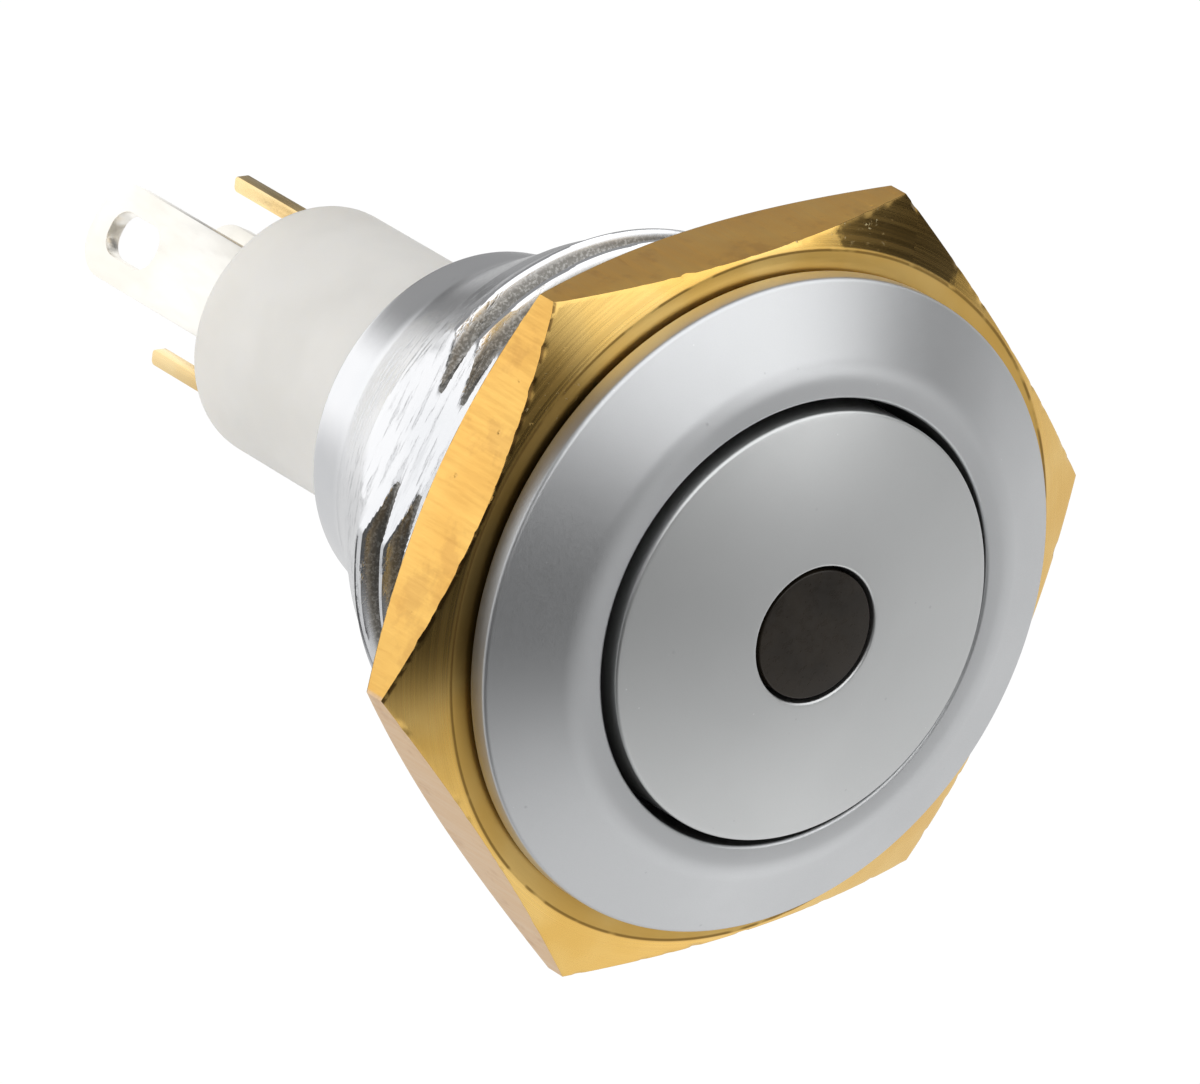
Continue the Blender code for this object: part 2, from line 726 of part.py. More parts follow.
def build_leads(material):
    """Lamp leads down the post, and the resistor's lead on to its pin."""
    lead_x = LEAD_SPACING / 2
    lead_top = lamp_bottom - SEAT_GAP
    post_end = cavity_start - SEAT_GAP
    pin_meeting = pin_top + SEAT_GAP
    cathode = [
        (-lead_x, 0, lead_top),
        (-lead_x, 0, post_end),
        (-pin_x, 0, pin_meeting + LEAD_STRAIGHT),
        (-pin_x, 0, pin_meeting),
    ]
    anode = [
        (lead_x, 0, lead_top),
        (lead_x, 0, post_end),
        (resistor_x, 0, resistor_top + LEAD_STRAIGHT),
        (resistor_x, 0, resistor_top + SEAT_GAP),
    ]
    onward = [
        (resistor_x, 0, resistor_bottom - SEAT_GAP),
        (resistor_x, 0, resistor_bottom - LEAD_STRAIGHT),
        (pin_x, 0, pin_meeting + LEAD_STRAIGHT),
        (pin_x, 0, pin_meeting),
    ]
    for name, points in (("led_cathode_lead", cathode), ("led_anode_lead", anode),
                         ("resistor_lead", onward)):
        wire(name, points, LEAD_DIAMETER, material)


def main():
    clear_scene()
    satin = make_material("satin_chrome", (0.60, 0.61, 0.62), 0.38, 1.0)
    barrel_metal = make_material("bright_chrome", (0.72, 0.73, 0.74), 0.18, 1.0)
    brass = make_material("bare_brass", (0.78, 0.53, 0.20), 0.28, 1.0)
    smoked = make_material("smoked_window", (0.032, 0.027, 0.022), 0.25)
    milky = make_material("milky_plastic", (0.80, 0.77, 0.71), 0.35, 0.0, 0.15)
    black = make_material("black_plastic", (0.02, 0.02, 0.022), 0.45)
    rubber = make_material("seal_rubber", (0.015, 0.015, 0.015), 0.8)
    steel = make_material("spring_steel", (0.55, 0.55, 0.54), 0.3, 1.0)
    tinned = make_material("tinned_copper", (0.86, 0.83, 0.77), 0.4, 1.0)
    silver = make_material("contact_silver", (0.85, 0.84, 0.80), 0.3, 1.0)
    gold = make_material("gold_plate", (0.93, 0.72, 0.36), 0.25, 1.0)
    epoxy = make_material("lamp_epoxy", (0.85, 0.85, 0.80), 0.1, 0.0, 0.6)
    ceramic = make_material("resistor_coat", (0.62, 0.50, 0.34), 0.5)

    build_barrel(barrel_metal)
    build_base(milky)
    nut = build_nut(brass)
    button = build_button(satin)
    seal = build_seal(rubber)
    window = build_window(smoked)
    plunger = build_plunger(black)
    bridge = build_bridge(silver)
    coil_spring("return_spring", return_radius, RETURN_WIRE, floor_z + SEAT_GAP,
                collar_bottom - SEAT_GAP, RETURN_TURNS, steel)
    contact_spring = coil_spring("contact_spring", contact_spring_radius, CONTACT_WIRE,
                                 bridge_top + SEAT_GAP, collar_bottom - SEAT_GAP,
                                 CONTACT_TURNS, steel)
    for side, end in ((-1, "near"), (1, "far")):
        build_fixed_contact("fixed_contact_" + end, side, tinned)
        build_contact_tip("contact_tip_" + end, side, silver)
    build_lamp(epoxy)
    build_resistor(ceramic)
    build_leads(tinned)
    build_pin("led_pin_cathode", -1, gold)
    build_pin("led_pin_anode", 1, gold)

    joint_parent("nut_run", [nut])
    joint_parent("button_press", [button, seal, window, plunger, contact_spring])
    joint_parent("contact_overtravel", [bridge])


main()
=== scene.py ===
# %% [markdown]
# # A metal pushbutton switch, dressed piece by piece
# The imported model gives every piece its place. This script loads it, lays finer meshes and
# procedural finishes over the pieces that show, and lights them as a small studio would.
# Everything is in metres, so a number in millimetres is written with MM after it.

# %% Load the frame
import math

import bpy
import numpy as np
from mathutils import Matrix, Vector, noise


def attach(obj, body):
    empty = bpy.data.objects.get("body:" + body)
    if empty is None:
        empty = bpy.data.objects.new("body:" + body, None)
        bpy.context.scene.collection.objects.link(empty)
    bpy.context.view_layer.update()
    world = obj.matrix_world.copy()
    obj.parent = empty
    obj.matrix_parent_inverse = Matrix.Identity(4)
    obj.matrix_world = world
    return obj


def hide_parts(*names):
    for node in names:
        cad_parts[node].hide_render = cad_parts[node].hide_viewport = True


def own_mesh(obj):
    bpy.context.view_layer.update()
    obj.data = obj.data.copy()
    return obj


MM = 0.001
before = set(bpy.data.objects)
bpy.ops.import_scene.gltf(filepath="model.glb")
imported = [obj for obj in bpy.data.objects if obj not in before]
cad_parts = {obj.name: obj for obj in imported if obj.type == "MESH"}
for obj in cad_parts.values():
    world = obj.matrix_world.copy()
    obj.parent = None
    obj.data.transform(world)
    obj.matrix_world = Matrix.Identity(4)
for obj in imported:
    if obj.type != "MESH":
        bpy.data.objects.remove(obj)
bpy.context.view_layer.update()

# %% [markdown]
# ## Camera
# The photograph is taken from far away with a long lens, so parallel edges stay parallel.
# The camera looks down on the bezel's face from about 45 degrees above it, and is rolled.
# The sensor is 36 mm wide, and a 450 mm lens gives the same narrow angle.

# %% Camera
def add_object(name, data):
    """A new object in the scene, at the origin."""
    obj = bpy.data.objects.new(name, data)
    bpy.context.scene.collection.objects.link(obj)
    return obj


camera_data = bpy.data.cameras.new("camera")
camera_data.lens = 450.0
camera_data.sensor_width = 36.0
camera_data.clip_start = 0.01
camera = add_object("camera", camera_data)
camera.location = (-32.872 * MM, -274.415 * MM, 291.479 * MM)
camera.rotation_euler = [math.radians(a) for a in (-25.4343, -35.7322, 122.1575)]
bpy.context.scene.camera = camera
bpy.context.scene.view_settings.view_transform = "Standard"
print("camera distance, mm:", round(camera.location.length / MM))

# %% [markdown]
# ## A short hand for node trees
# Shaders, shader groups and Geometry Nodes are all trees of nodes. The helper below places
# a node, sets its options, and joins or fills its inputs, so that a tree reads like a
# formula. Each material then starts with positions in millimetres, measured from the
# object's origin, so a pattern keeps its real size on every piece.

# %% Node helpers
class Tree:
    """Places nodes in one tree and joins their sockets."""

    def __init__(self, tree):
        self.tree = tree

    def add(self, kind, inputs=None, **settings):
        node = self.tree.nodes.new(kind)
        for name, value in settings.items():
            setattr(node, name, value)
        for key, value in (inputs or {}).items():
            self.feed(node, key, value)
        return node

    def feed(self, node, key, value):
        """Fill an input with a value, or join it to a socket or a node's first output."""
        if isinstance(value, bpy.types.Node):
            value = value.outputs[0]
        if isinstance(value, bpy.types.NodeSocket):
            self.tree.links.new(value, node.inputs[key])
        else:
            node.inputs[key].default_value = value

    def math(self, operation, first, second=0.0, third=0.0):
        inputs = {0: first, 1: second, 2: third}
        return self.add("ShaderNodeMath", inputs, operation=operation)

    def times(self, product, *others):
        """The product of two or more values."""
        for other in others:
            product = self.math("MULTIPLY", product, other)
        return product

    def ramp(self, value, low, high, new_low=0.0, new_high=1.0, kind="SMOOTHSTEP"):
        """Low becomes new_low, high becomes new_high, and what lies between is eased."""
        inputs = {0: value, 1: low, 2: high, 3: new_low, 4: new_high}
        return self.add("ShaderNodeMapRange", inputs, interpolation_type=kind)

    def vector(self, operation, first, second=(0.0, 0.0, 0.0)):
        """Vector maths; an operation that measures gives its number, not a vector."""
        node = self.add("ShaderNodeVectorMath", {0: first, 1: second}, operation=operation)
        return node.outputs[int(operation in ("LENGTH", "DISTANCE", "DOT_PRODUCT"))]

    def split(self, vector):
        return self.add("ShaderNodeSeparateXYZ", {0: vector}).outputs

    def join(self, x, y, z=0.0):
        return self.add("ShaderNodeCombineXYZ", {0: x, 1: y, 2: z})

    def noise(self, position, scale, detail=2.0, roughness=0.5):
        return self.add("ShaderNodeTexNoise", {
            "Vector": position, "Scale": scale, "Detail": detail, "Roughness": roughness})

    def mix(self, factor, first, second):
        inputs = {0: factor, 6: first, 7: second}
        return self.add("ShaderNodeMix", inputs, data_type="RGBA").outputs[2]

    def tint(self, color, mask, tone, share=1.0):
        """Lay a tone over a colour where the mask is 1, as strongly as the share says."""
        return self.mix(self.times(mask, share), color, (*tone, 1))

    def millimetres(self):
        """Places on the object, in millimetres from its origin."""
        place = self.add("ShaderNodeTexCoord").outputs["Object"]
        return self.add("ShaderNodeMapping", {"Vector": place, "Scale": (1000, 1000, 1000)})


def new_group(name, inputs, outputs, kind="ShaderNodeTree"):
    """An empty node group with named sockets; returns its tree, its inputs and its end."""
    group = bpy.data.node_groups.new(name, kind)
    for label, socket, value in inputs:
        socket = "NodeSocket" + socket
        made = group.interface.new_socket(label, in_out="INPUT", socket_type=socket)
        if value is not None:
            made.default_value = value
    for label, socket in outputs:
        group.interface.new_socket(label, in_out="OUTPUT", socket_type="NodeSocket" + socket)
    tree = Tree(group)
    return tree, tree.add("NodeGroupInput").outputs, tree.add("NodeGroupOutput")


# %% [markdown]
# ## Finishes that several materials share
# Four effects come back on several metals. Turning leaves fine circles round the axis.
# Drawing and handling leave streaks along one direction. Plating and casting leave small
# specks. Sheet and moulded surfaces wander slowly in tone. Each is a group with its own
# inputs, so one idea is tuned once and used at several strengths.

# %% Shared shader groups
def group_turned_lines():
    """Fine circles round Z, from noise read at (distance from the axis, height)."""
    tree, given, end = new_group("turned_lines", [
        ("Position", "Vector", None), ("Lines", "Float", 12.0)], [("Height", "Float")])
    parts = tree.split(given["Position"])
    radius = tree.vector("LENGTH", tree.join(parts[0], parts[1]))
    angle = tree.math("ARCTAN2", parts[1], parts[0])
    place = tree.join(radius, parts[2], tree.times(angle, 0.02))
    tree.feed(end, 0, tree.noise(place, given["Lines"], 3.0, 0.7))
    return tree.tree


def group_streaks():
    """Streaks: noise squeezed by a different amount along each axis."""
    tree, given, end = new_group("streaks", [
        ("Position", "Vector", None), ("Squeeze", "Vector", (1, 1, 1)),
        ("Coverage", "Float", 0.5)], [("Height", "Float"), ("Mask", "Float")])
    place = tree.vector("MULTIPLY", given["Position"], given["Squeeze"])
    height = tree.noise(place, 1.0, 4.0, 0.65)
    edge = tree.math("SUBTRACT", 1.0, given["Coverage"])
    tree.feed(end, 0, height)
    tree.feed(end, 1, tree.ramp(height, edge, tree.math("ADD", edge, 0.12)))
    return tree.tree


def group_specks():
    """Scattered round specks: a few cells of a Voronoi pattern, picked at random."""
    tree, given, end = new_group("specks", [
        ("Position", "Vector", None), ("Scale", "Float", 3.0), ("Share", "Float", 0.2),
        ("Size", "Float", 0.2)], [("Mask", "Float")])
    cells = tree.add("ShaderNodeTexVoronoi", {
        "Vector": given["Position"], "Scale": given["Scale"]})
    pick = tree.add("ShaderNodeSeparateColor", {0: cells.outputs["Color"]})
    chosen = tree.math("LESS_THAN", pick.outputs[0], given["Share"])
    reach = tree.math("ADD", tree.times(given["Size"], pick.outputs[1]), 0.02)
    dot = tree.ramp(cells.outputs["Distance"], 0.0, reach, 1.0, 0.0)
    tree.feed(end, 0, tree.times(chosen, dot))
    return tree.tree


def group_drift():
    """A slow change of tone: one colour wandering towards another."""
    tree, given, end = new_group("tone_drift", [
        ("Position", "Vector", None), ("Scale", "Float", 0.2), ("Color A", "Color", None),
        ("Color B", "Color", None)], [("Color", "Color")])
    share = tree.ramp(tree.noise(given["Position"], given["Scale"], 3.0), 0.35, 0.65)
    tree.feed(end, 0, tree.mix(share, given["Color A"], given["Color B"]))
    return tree.tree


TURNED, STREAKS, SPECKS, DRIFT = (group_turned_lines(), group_streaks(), group_specks(),
                                  group_drift())
print("shared groups:", [group.name for group in (TURNED, STREAKS, SPECKS, DRIFT)])


# %% [markdown]
# ## Materials
# Each material is a Principled BSDF with the patterns above feeding its colour, roughness
# and bump. The bezel and button are plated with a satin front, the barrel behind them is
# brighter, and the nut is bare brass: turned circles on its faces, and drawn streaks along
# its axis on the flats, because hexagon bar is pulled through a die in that direction.
# Its torn and tarnished places, with painted glints in the torn ones, and painted shade on
# one side and along that side's edge, are masks, measured from points on the nut.

# %% Material helpers
materials = {}


class Surface(Tree):
    """The tree of a new material, with its shader and its positions in millimetres."""

    def __init__(self, name, roughness, metallic=0.0):
        material = materials[name] = bpy.data.materials.new(name)
        material.use_nodes = True
        super().__init__(material.node_tree)
        self.shader = self.tree.nodes["Principled BSDF"]
        self.put("Roughness", roughness)
        self.put("Metallic", metallic)
        self.position = self.millimetres()

    def put(self, name, value):
        """Fill or join one input of the shader."""
        self.feed(self.shader, name, value)

    def shared(self, group, inputs, out=0):
        """One of the shared groups, read at this material's positions."""
        node = self.add("ShaderNodeGroup", {"Position": self.position, **inputs},
                        node_tree=group)
        return node.outputs[out]

    def drift(self, scale, first, second):
        return self.shared(DRIFT, {
            "Scale": scale, "Color A": (*first, 1), "Color B": (*second, 1)})

    def specks(self, scale, share, size):
        return self.shared(SPECKS, {"Scale": scale, "Share": share, "Size": size})

    def streaks(self, squeeze, coverage=0.5, out=0):
        return self.shared(STREAKS, {"Squeeze": squeeze, "Coverage": coverage}, out)

    def grain(self, scale, detail=2.0, roughness=0.5):
        return self.noise(self.position, scale, detail, roughness)

    def gloss(self, pattern, low, high):
        """Roughness between two values, as a pattern goes from its lows to its highs."""
        self.put("Roughness", self.ramp(pattern, 0.3, 0.7, low, high))

    def bump(self, height, depth, strength):
        """Press a height into the normals; the depth is in millimetres."""
        self.put("Normal", self.add("ShaderNodeBump", {
            "Strength": strength, "Distance": depth * MM, "Height": height}))


# %% Satin plating
def satin_material(name, tone, second, roughness):
    """Satin plating: soft grain, faint specks and a slow drift in tone."""
    satin = Surface(name, roughness, 1.0)
    specks = satin.specks(2.2, 0.12, 0.16)
    dust = satin.specks(3.1, 0.10, 0.10)
    color = satin.tint(satin.drift(0.16, tone, second), specks, (0.32, 0.33, 0.35), 0.35)
    satin.put("Base Color", satin.tint(color, dust, (0.93, 0.94, 0.95), 0.5))
    grain = satin.grain(26.0, 2.0, 0.6)
    satin.gloss(grain, roughness - 0.04, roughness + 0.05)
    satin.bump(satin.math("ADD", grain, satin.times(specks, 1.5)), 0.004, 0.35)


satin_material("satin_bezel", (0.62, 0.63, 0.64), (0.58, 0.59, 0.60), 0.40)
satin_material("satin_button", (0.61, 0.62, 0.62), (0.58, 0.59, 0.59), 0.38)
print("satin:", sorted(materials))

# %% Bright plating
THREAD_RADIUS = 7.9
THREAD_END = -7.45
FLAT_HALF = 7.3
INNER_WALL = 7.1


def bright_plating():
    """Bright plating over a die casting: scratched flats, and dull thread valleys darkened by
    painted shade.
    """
    chrome = Surface("bright_chrome", 0.16, 1.0)
    color = chrome.drift(0.3, (0.80, 0.805, 0.82), (0.75, 0.76, 0.78))
    parts = chrome.split(chrome.position)
    radius = chrome.vector("LENGTH", chrome.join(parts[0], parts[1]))
    from_middle = chrome.math("ABSOLUTE", parts[1])
    # The flats are scratched, but not right under the bezel.
    rubbed = chrome.times(
        chrome.ramp(parts[2], -0.4, -1.0), chrome.ramp(from_middle, 5.4, 6.9))
    fine = chrome.streaks((0.45, 3.4, 5.0), 0.42)
    coarse = chrome.streaks((0.22, 1.2, 1.6), 0.43, out=1)
    marks = chrome.math("MAXIMUM", chrome.ramp(fine, 0.52, 0.70), chrome.times(coarse, 0.7))
    marks = chrome.times(marks, rubbed)
    color = chrome.tint(color, marks, (0.42, 0.43, 0.45), 0.36)
    # Below the thread's crests the plating is thin, gritty and rougher, and painted shade
    # darkens it; the bore is plain painted shade.
    valley = chrome.times(
        chrome.ramp(radius, THREAD_RADIUS - 0.05, THREAD_RADIUS - 0.26),
        chrome.math("LESS_THAN", from_middle, FLAT_HALF - 0.02),
        chrome.math("GREATER_THAN", parts[2], THREAD_END - 0.05))
    grit = chrome.grain(11.0, 4.0, 0.7)
    painted_tone = chrome.mix(
        chrome.ramp(grit, 0.45, 0.66), (0.19, 0.18, 0.16, 1), (0.50, 0.49, 0.465, 1))
    bore_shade = chrome.math("LESS_THAN", radius, INNER_WALL)
    painted_tone = chrome.tint(painted_tone, bore_shade, (0.20, 0.20, 0.195))
    # Painted shade darkens the valleys and the bore.
    color = chrome.mix(chrome.times(valley, 0.92), color, painted_tone)
    specks = chrome.specks(2.6, 0.1, 0.12)
    chrome.put("Base Color", chrome.tint(color, specks, (0.25, 0.26, 0.27), 0.5))
    smooth = chrome.ramp(grit, 0.35, 0.75, 0.15, 0.24)
    chrome.put("Roughness", chrome.math("MULTIPLY_ADD", valley, 0.26, smooth))
    lines = chrome.shared(TURNED, {"Lines": 2.2})
    height = chrome.math("MULTIPLY_ADD", lines, 0.08, chrome.times(marks, -0.55))
    chrome.bump(chrome.math("MULTIPLY_ADD", grit, 0.05, height), 0.05, 0.5)


bright_plating()
print("plated:", sorted(materials))

# %% Brass as turned
NUT_FLATS = 20.0
NUT_TOP = -0.15
NUT_FACE = 9.9
TORN_PLACES = (
    # place on the nut in millimetres, reach in millimetres
    ((-3.2, -9.85, -0.3), 1.3),
    ((-10.3, -2.6, -0.3), 0.9),
    ((-10.6, -1.6, -0.3), 0.9),
    ((-9.7, -4.3, -0.5), 1.0),
)
TARNISHED_CORNER = (-10.9, -0.5, -0.6)
# The side that gets painted shade, as a direction across the nut.
SHADED_SIDE = (0.0523, -0.9986, 0.0)


def turned_brass():
    """Faces and chamfers of the nut, cut on a lathe, torn and tarnished in places, with
    painted glints and painted shade.
    """
    brass = Surface("turned_brass", 0.24, 1.0)
    color = brass.drift(0.35, (0.86, 0.58, 0.19), (0.80, 0.50, 0.13))
    # Torn places: a little brown, with flecks that stand up and are tinted pale as painted
    # glints.
    near = 0.0
    for place, reach in TORN_PLACES:
        away = brass.vector("DISTANCE", brass.position, place)
        near = brass.math("MAXIMUM", near, brass.ramp(away, reach, reach * 0.2))
    rough = brass.grain(5.5, 5.0, 0.75)
    torn = brass.times(brass.ramp(rough, 0.46, 0.62), near)
    flecks_and_glints = brass.times(brass.ramp(rough, 0.62, 0.66), near)
    color = brass.tint(color, torn, (0.34, 0.23, 0.08), 0.12)
    # A brown line in the groove where the flat face meets the chamfer.
    parts = brass.split(brass.position)
    across = brass.join(parts[0], parts[1])
    from_rim = brass.math("SUBTRACT", brass.vector("LENGTH", across), NUT_FACE - 0.03)
    groove = brass.times(
        brass.ramp(brass.math("ABSOLUTE", from_rim), 0.06, 0.02),
        brass.ramp(brass.grain(0.9), 0.36, 0.46))
    color = brass.tint(color, groove, (0.24, 0.13, 0.03), 0.75)
    # Tarnish on one corner with a ragged edge, and painted shade over the middle of one side.
    edge = brass.math("MULTIPLY_ADD", rough, 0.9,
                      brass.vector("DISTANCE", brass.position, TARNISHED_CORNER))
    corner = brass.times(brass.ramp(edge, 3.05, 2.75), brass.ramp(from_rim, 0.05, 0.1), 0.84)
    facing = brass.vector("DOT_PRODUCT", brass.vector("NORMALIZE", across), SHADED_SIDE)
    # Painted shade over the middle of that side.
    side = brass.times(brass.ramp(facing, 0.83, 0.94), 0.72)
    tarnish_and_shade = brass.times(
        brass.math("MAXIMUM", corner, side), brass.ramp(parts[2], -1.6, -1.2))
    color = brass.tint(color, tarnish_and_shade, (0.13, 0.080, 0.025))
    # A broken dark line of painted shadow along the chamfer's edge on the shaded side.
    to_flat = brass.vector("DOT_PRODUCT", brass.position, SHADED_SIDE)
    edge_shadow_line = brass.times(
        brass.ramp(to_flat, NUT_FLATS / 2 - 0.11, NUT_FLATS / 2 - 0.05),
        brass.ramp(brass.grain(2.5), 0.40, 0.48, 0.0, 0.8))
    color = brass.tint(color, edge_shadow_line, (0.10, 0.05, 0.015))
    # The flecks' pale tone is a painted glint.
    brass.put("Base Color", brass.tint(color, flecks_and_glints, (1.0, 0.86, 0.52)))
    lines = brass.shared(TURNED, {"Lines": 8.0})
    on_face = brass.ramp(parts[2], NUT_TOP - 0.05, NUT_TOP - 0.01, 0.0, 0.13)
    turned = brass.ramp(lines, 0.3, 0.7, 0.20, 0.30)
    brass.put("Roughness", brass.math("ADD", on_face, turned))
    height = brass.math("ADD", brass.times(lines, 0.35), brass.times(flecks_and_glints, 4.0))
    brass.bump(height, 0.012, 0.6)


turned_brass()
print("torn places:", len(TORN_PLACES))

# %% Brass as drawn
# The flat that is painted paler, as a painted sheen.
SHEEN_FLAT = (0.8894, -0.4571, 0.0)


def drawn_brass():
    """Flats of the nut: die lines along the bar, brown bands, dents and one flat painted
    paler as a painted sheen.
    """
    brass = Surface("drawn_brass", 0.36, 1.0)
    to_flat = brass.vector("DOT_PRODUCT", brass.position, SHEEN_FLAT)
    # One flat is painted paler: a painted sheen.
    painted_tone = brass.ramp(to_flat, NUT_FLATS / 2 - 0.12, NUT_FLATS / 2 - 0.03)
    color = brass.drift(0.5, (0.98, 0.60, 0.165), (0.93, 0.54, 0.14))
    color = brass.tint(color, painted_tone, (0.88, 0.62, 0.37))
    stains = brass.ramp(brass.grain(0.85, 4.0, 0.6), 0.52, 0.66, 0.0, 0.24)
    color = brass.tint(color, stains, (0.50, 0.24, 0.08))
    bands = brass.streaks((1.3, 1.3, 0.25), 0.36, out=1)
    brass.put("Base Color", brass.tint(color, bands, (0.56, 0.25, 0.06), 0.42))
    streaks = brass.streaks((7.0, 7.0, 0.5), 0.3)
    brass.gloss(streaks, 0.30, 0.44)
    dents = brass.specks(1.9, 0.34, 0.16)
    height = brass.math("SUBTRACT", brass.times(streaks, 0.6), brass.times(dents, 2.2))
    brass.bump(height, 0.014, 0.6)


drawn_brass()
print("metals so far:", sorted(materials))

# %% Plastics, rubber and the smaller metals
def plastic_material(name, tone, second, roughness, milky=0.0):
    """Moulded plastic with a fine skin; a milky one lets light a little way in."""
    plastic = Surface(name, roughness)
    plastic.put("Base Color", plastic.drift(0.25, tone, second))
    skin = plastic.grain(8.0, 3.0)
    plastic.gloss(skin, roughness - 0.05, roughness + 0.07)
    if milky:
        plastic.put("Subsurface Weight", milky)
        plastic.put("Subsurface Radius", (1.0, 0.9, 0.75))
        plastic.put("Subsurface Scale", 1.2 * MM)
    plastic.bump(skin, 0.006, 0.3)


def small_metal(name, tone, second, roughness, squeeze):
    """Stamped, drawn or plated small metal with streaks along its length."""
    metal = Surface(name, roughness, 1.0)
    metal.put("Base Color", metal.drift(0.4, tone, second))
    streaks = metal.streaks(squeeze)
    metal.gloss(streaks, roughness - 0.06, roughness + 0.08)
    metal.bump(streaks, 0.006, 0.35)


def smoked_window():
    """Dark translucent lens; from outside it is a nearly black brown with a soft gloss."""
    lens = Surface("smoked_window", 0.3)
    color = lens.drift(0.6, (0.020, 0.015, 0.010), (0.012, 0.009, 0.006))
    dust = lens.specks(6.0, 0.25, 0.15)
    lens.put("Base Color", lens.tint(color, dust, (0.10, 0.08, 0.06), 0.25))
    lens.gloss(lens.grain(5.0), 0.26, 0.38)
    lens.put("Specular IOR Level", 0.3)


def clear_epoxy():
    """Body of the lamp behind the window: half clear, with a soft gloss."""
    epoxy = Surface("lamp_epoxy", 0.12)
    epoxy.put("Base Color", epoxy.drift(0.8, (0.90, 0.90, 0.86), (0.84, 0.85, 0.82)))
    epoxy.gloss(epoxy.grain(3.0), 0.08, 0.18)
    epoxy.put("Transmission Weight", 0.5)


smoked_window()
clear_epoxy()
plastic_material("seal_rubber", (0.018, 0.018, 0.018), (0.03, 0.03, 0.03), 0.7)
plastic_material("black_plastic", (0.02, 0.02, 0.022), (0.03, 0.03, 0.033), 0.45)
plastic_material("milky_plastic", (0.89, 0.862, 0.81), (0.82, 0.795, 0.745), 0.42, 0.35)
plastic_material("resistor_coat", (0.60, 0.48, 0.33), (0.52, 0.41, 0.28), 0.5)
small_metal("spring_steel", (0.56, 0.56, 0.55), (0.48, 0.48, 0.47), 0.28, (6.0, 6.0, 6.0))
small_metal("contact_silver", (0.88, 0.87, 0.83), (0.80, 0.79, 0.75), 0.3, (3.0, 3.0, 3.0))
small_metal("tinned_copper", (0.93, 0.91, 0.86), (0.88, 0.85, 0.78), 0.34, (4.0, 4.0, 0.8))
small_metal("gold_plate", (1.0, 0.79, 0.43), (0.95, 0.69, 0.33), 0.26, (6.0, 6.0, 0.7))
print("materials:", len(materials))

# %% [markdown]
# ## Turned pieces
# The bezel, button, window and plastic body were all made by spinning something, so each
# starts as a profile: corners in (distance from the axis, height), rounded where a tool or
# a mould would round them. The lathe below sweeps the profile into a grid of quads, which
# keeps the highlights on the curved metal smooth. Each row of the grid may carry a weight
# called thread, which later tells the thread tree where to cut.

# %% Profiles and the lathe
def rounded(corners, steps=8):
    """Open or closed outline; each corner is (across, height, fillet) in millimetres."""
    points = []
    for index, (across, height, fillet) in enumerate(corners):
        here = Vector((across, height))
        if not fillet:
            points.append(tuple(here))
            continue
        to_last = Vector(corners[index - 1][:2]) - here
        to_next = Vector(corners[(index + 1) % len(corners)][:2]) - here
        half_angle = to_last.angle(to_next) / 2
        reach = min(fillet / math.tan(half_angle), 0.45 * to_last.length,
                    0.45 * to_next.length)
        to_last.normalize()
        to_next.normalize()
        centre = here + (to_last + to_next).normalized() * reach / math.cos(half_angle)
        start = here + to_last * reach - centre
        sweep = start.angle_signed(here + to_next * reach - centre)
        for step in range(steps + 1):
            turned = Matrix.Rotation(-sweep * step / steps, 2) @ start
            points.append(tuple(centre + turned))
    return points


def straight(start, end, steps):
    """Evenly spaced points from start to end, both included."""
    return [tuple(Vector(start).lerp(Vector(end), step / steps)) for step in range(steps + 1)]


def mesh_object(name, vertices, faces, slots, face_slots=None, weights=None):
    """A smooth-shaded object from lists; weights become the attribute called thread."""
    mesh = bpy.data.meshes.new(name)
    mesh.from_pydata(vertices, [], faces)
    for slot in slots:
        mesh.materials.append(materials[slot])
    if face_slots is not None:
        mesh.polygons.foreach_set("material_index", face_slots)
    if weights is not None:
        layer = mesh.attributes.new("thread", "FLOAT", "POINT")
        layer.data.foreach_set("value", weights)
    mesh.validate()
    return add_object(name, mesh)


def around(radius, angle, height):
    """The point at a distance from the axis, an angle and a height, from millimetres."""
    return radius * math.cos(angle) * MM, radius * math.sin(angle) * MM, height * MM


def lathe(name, profile, slots, segments, row_slots=None, row_weights=None):
    """Spin a closed profile of (radius, height) in millimetres, listed clockwise in the
    plane of radius and height, so that faces point outwards."""
    vertices, faces, face_slots, weights, index = [], [], [], [], []
    for row, (radius, height) in enumerate(profile):
        count = 1 if radius < 1e-6 else segments
        index.append([len(vertices) + step % count for step in range(segments + 1)])
        for step in range(count):
            vertices.append(around(radius, 2 * math.pi * step / segments, height))
            weights.append(row_weights[row] if row_weights else 0.0)
    for row, below in enumerate(index):
        above = index[(row + 1) % len(index)]
        if below[0] == below[1] and above[0] == above[1]:
            continue
        for step in range(segments):
            corners = [below[step], above[step], above[step + 1], below[step + 1]]
            faces.append(tuple(dict.fromkeys(corners)))
            face_slots.append(row_slots[row] if row_slots else 0)
    return mesh_object(name, vertices, faces, slots, face_slots, weights)


def face_outwards(mesh):
    """Flip a closed mesh that is inside out; returns its triangle count and its volume."""
    mesh.calc_loop_triangles()
    points = np.array([vertex.co for vertex in mesh.vertices])
    corners = points[np.array([triangle.vertices for triangle in mesh.loop_triangles])]
    cross = np.cross(corners[:, 1], corners[:, 2])
    volume = np.einsum("ij,ij->i", corners[:, 0], cross).sum() / 6
    if volume < 0:
        mesh.flip_normals()
    return len(corners), abs(volume)


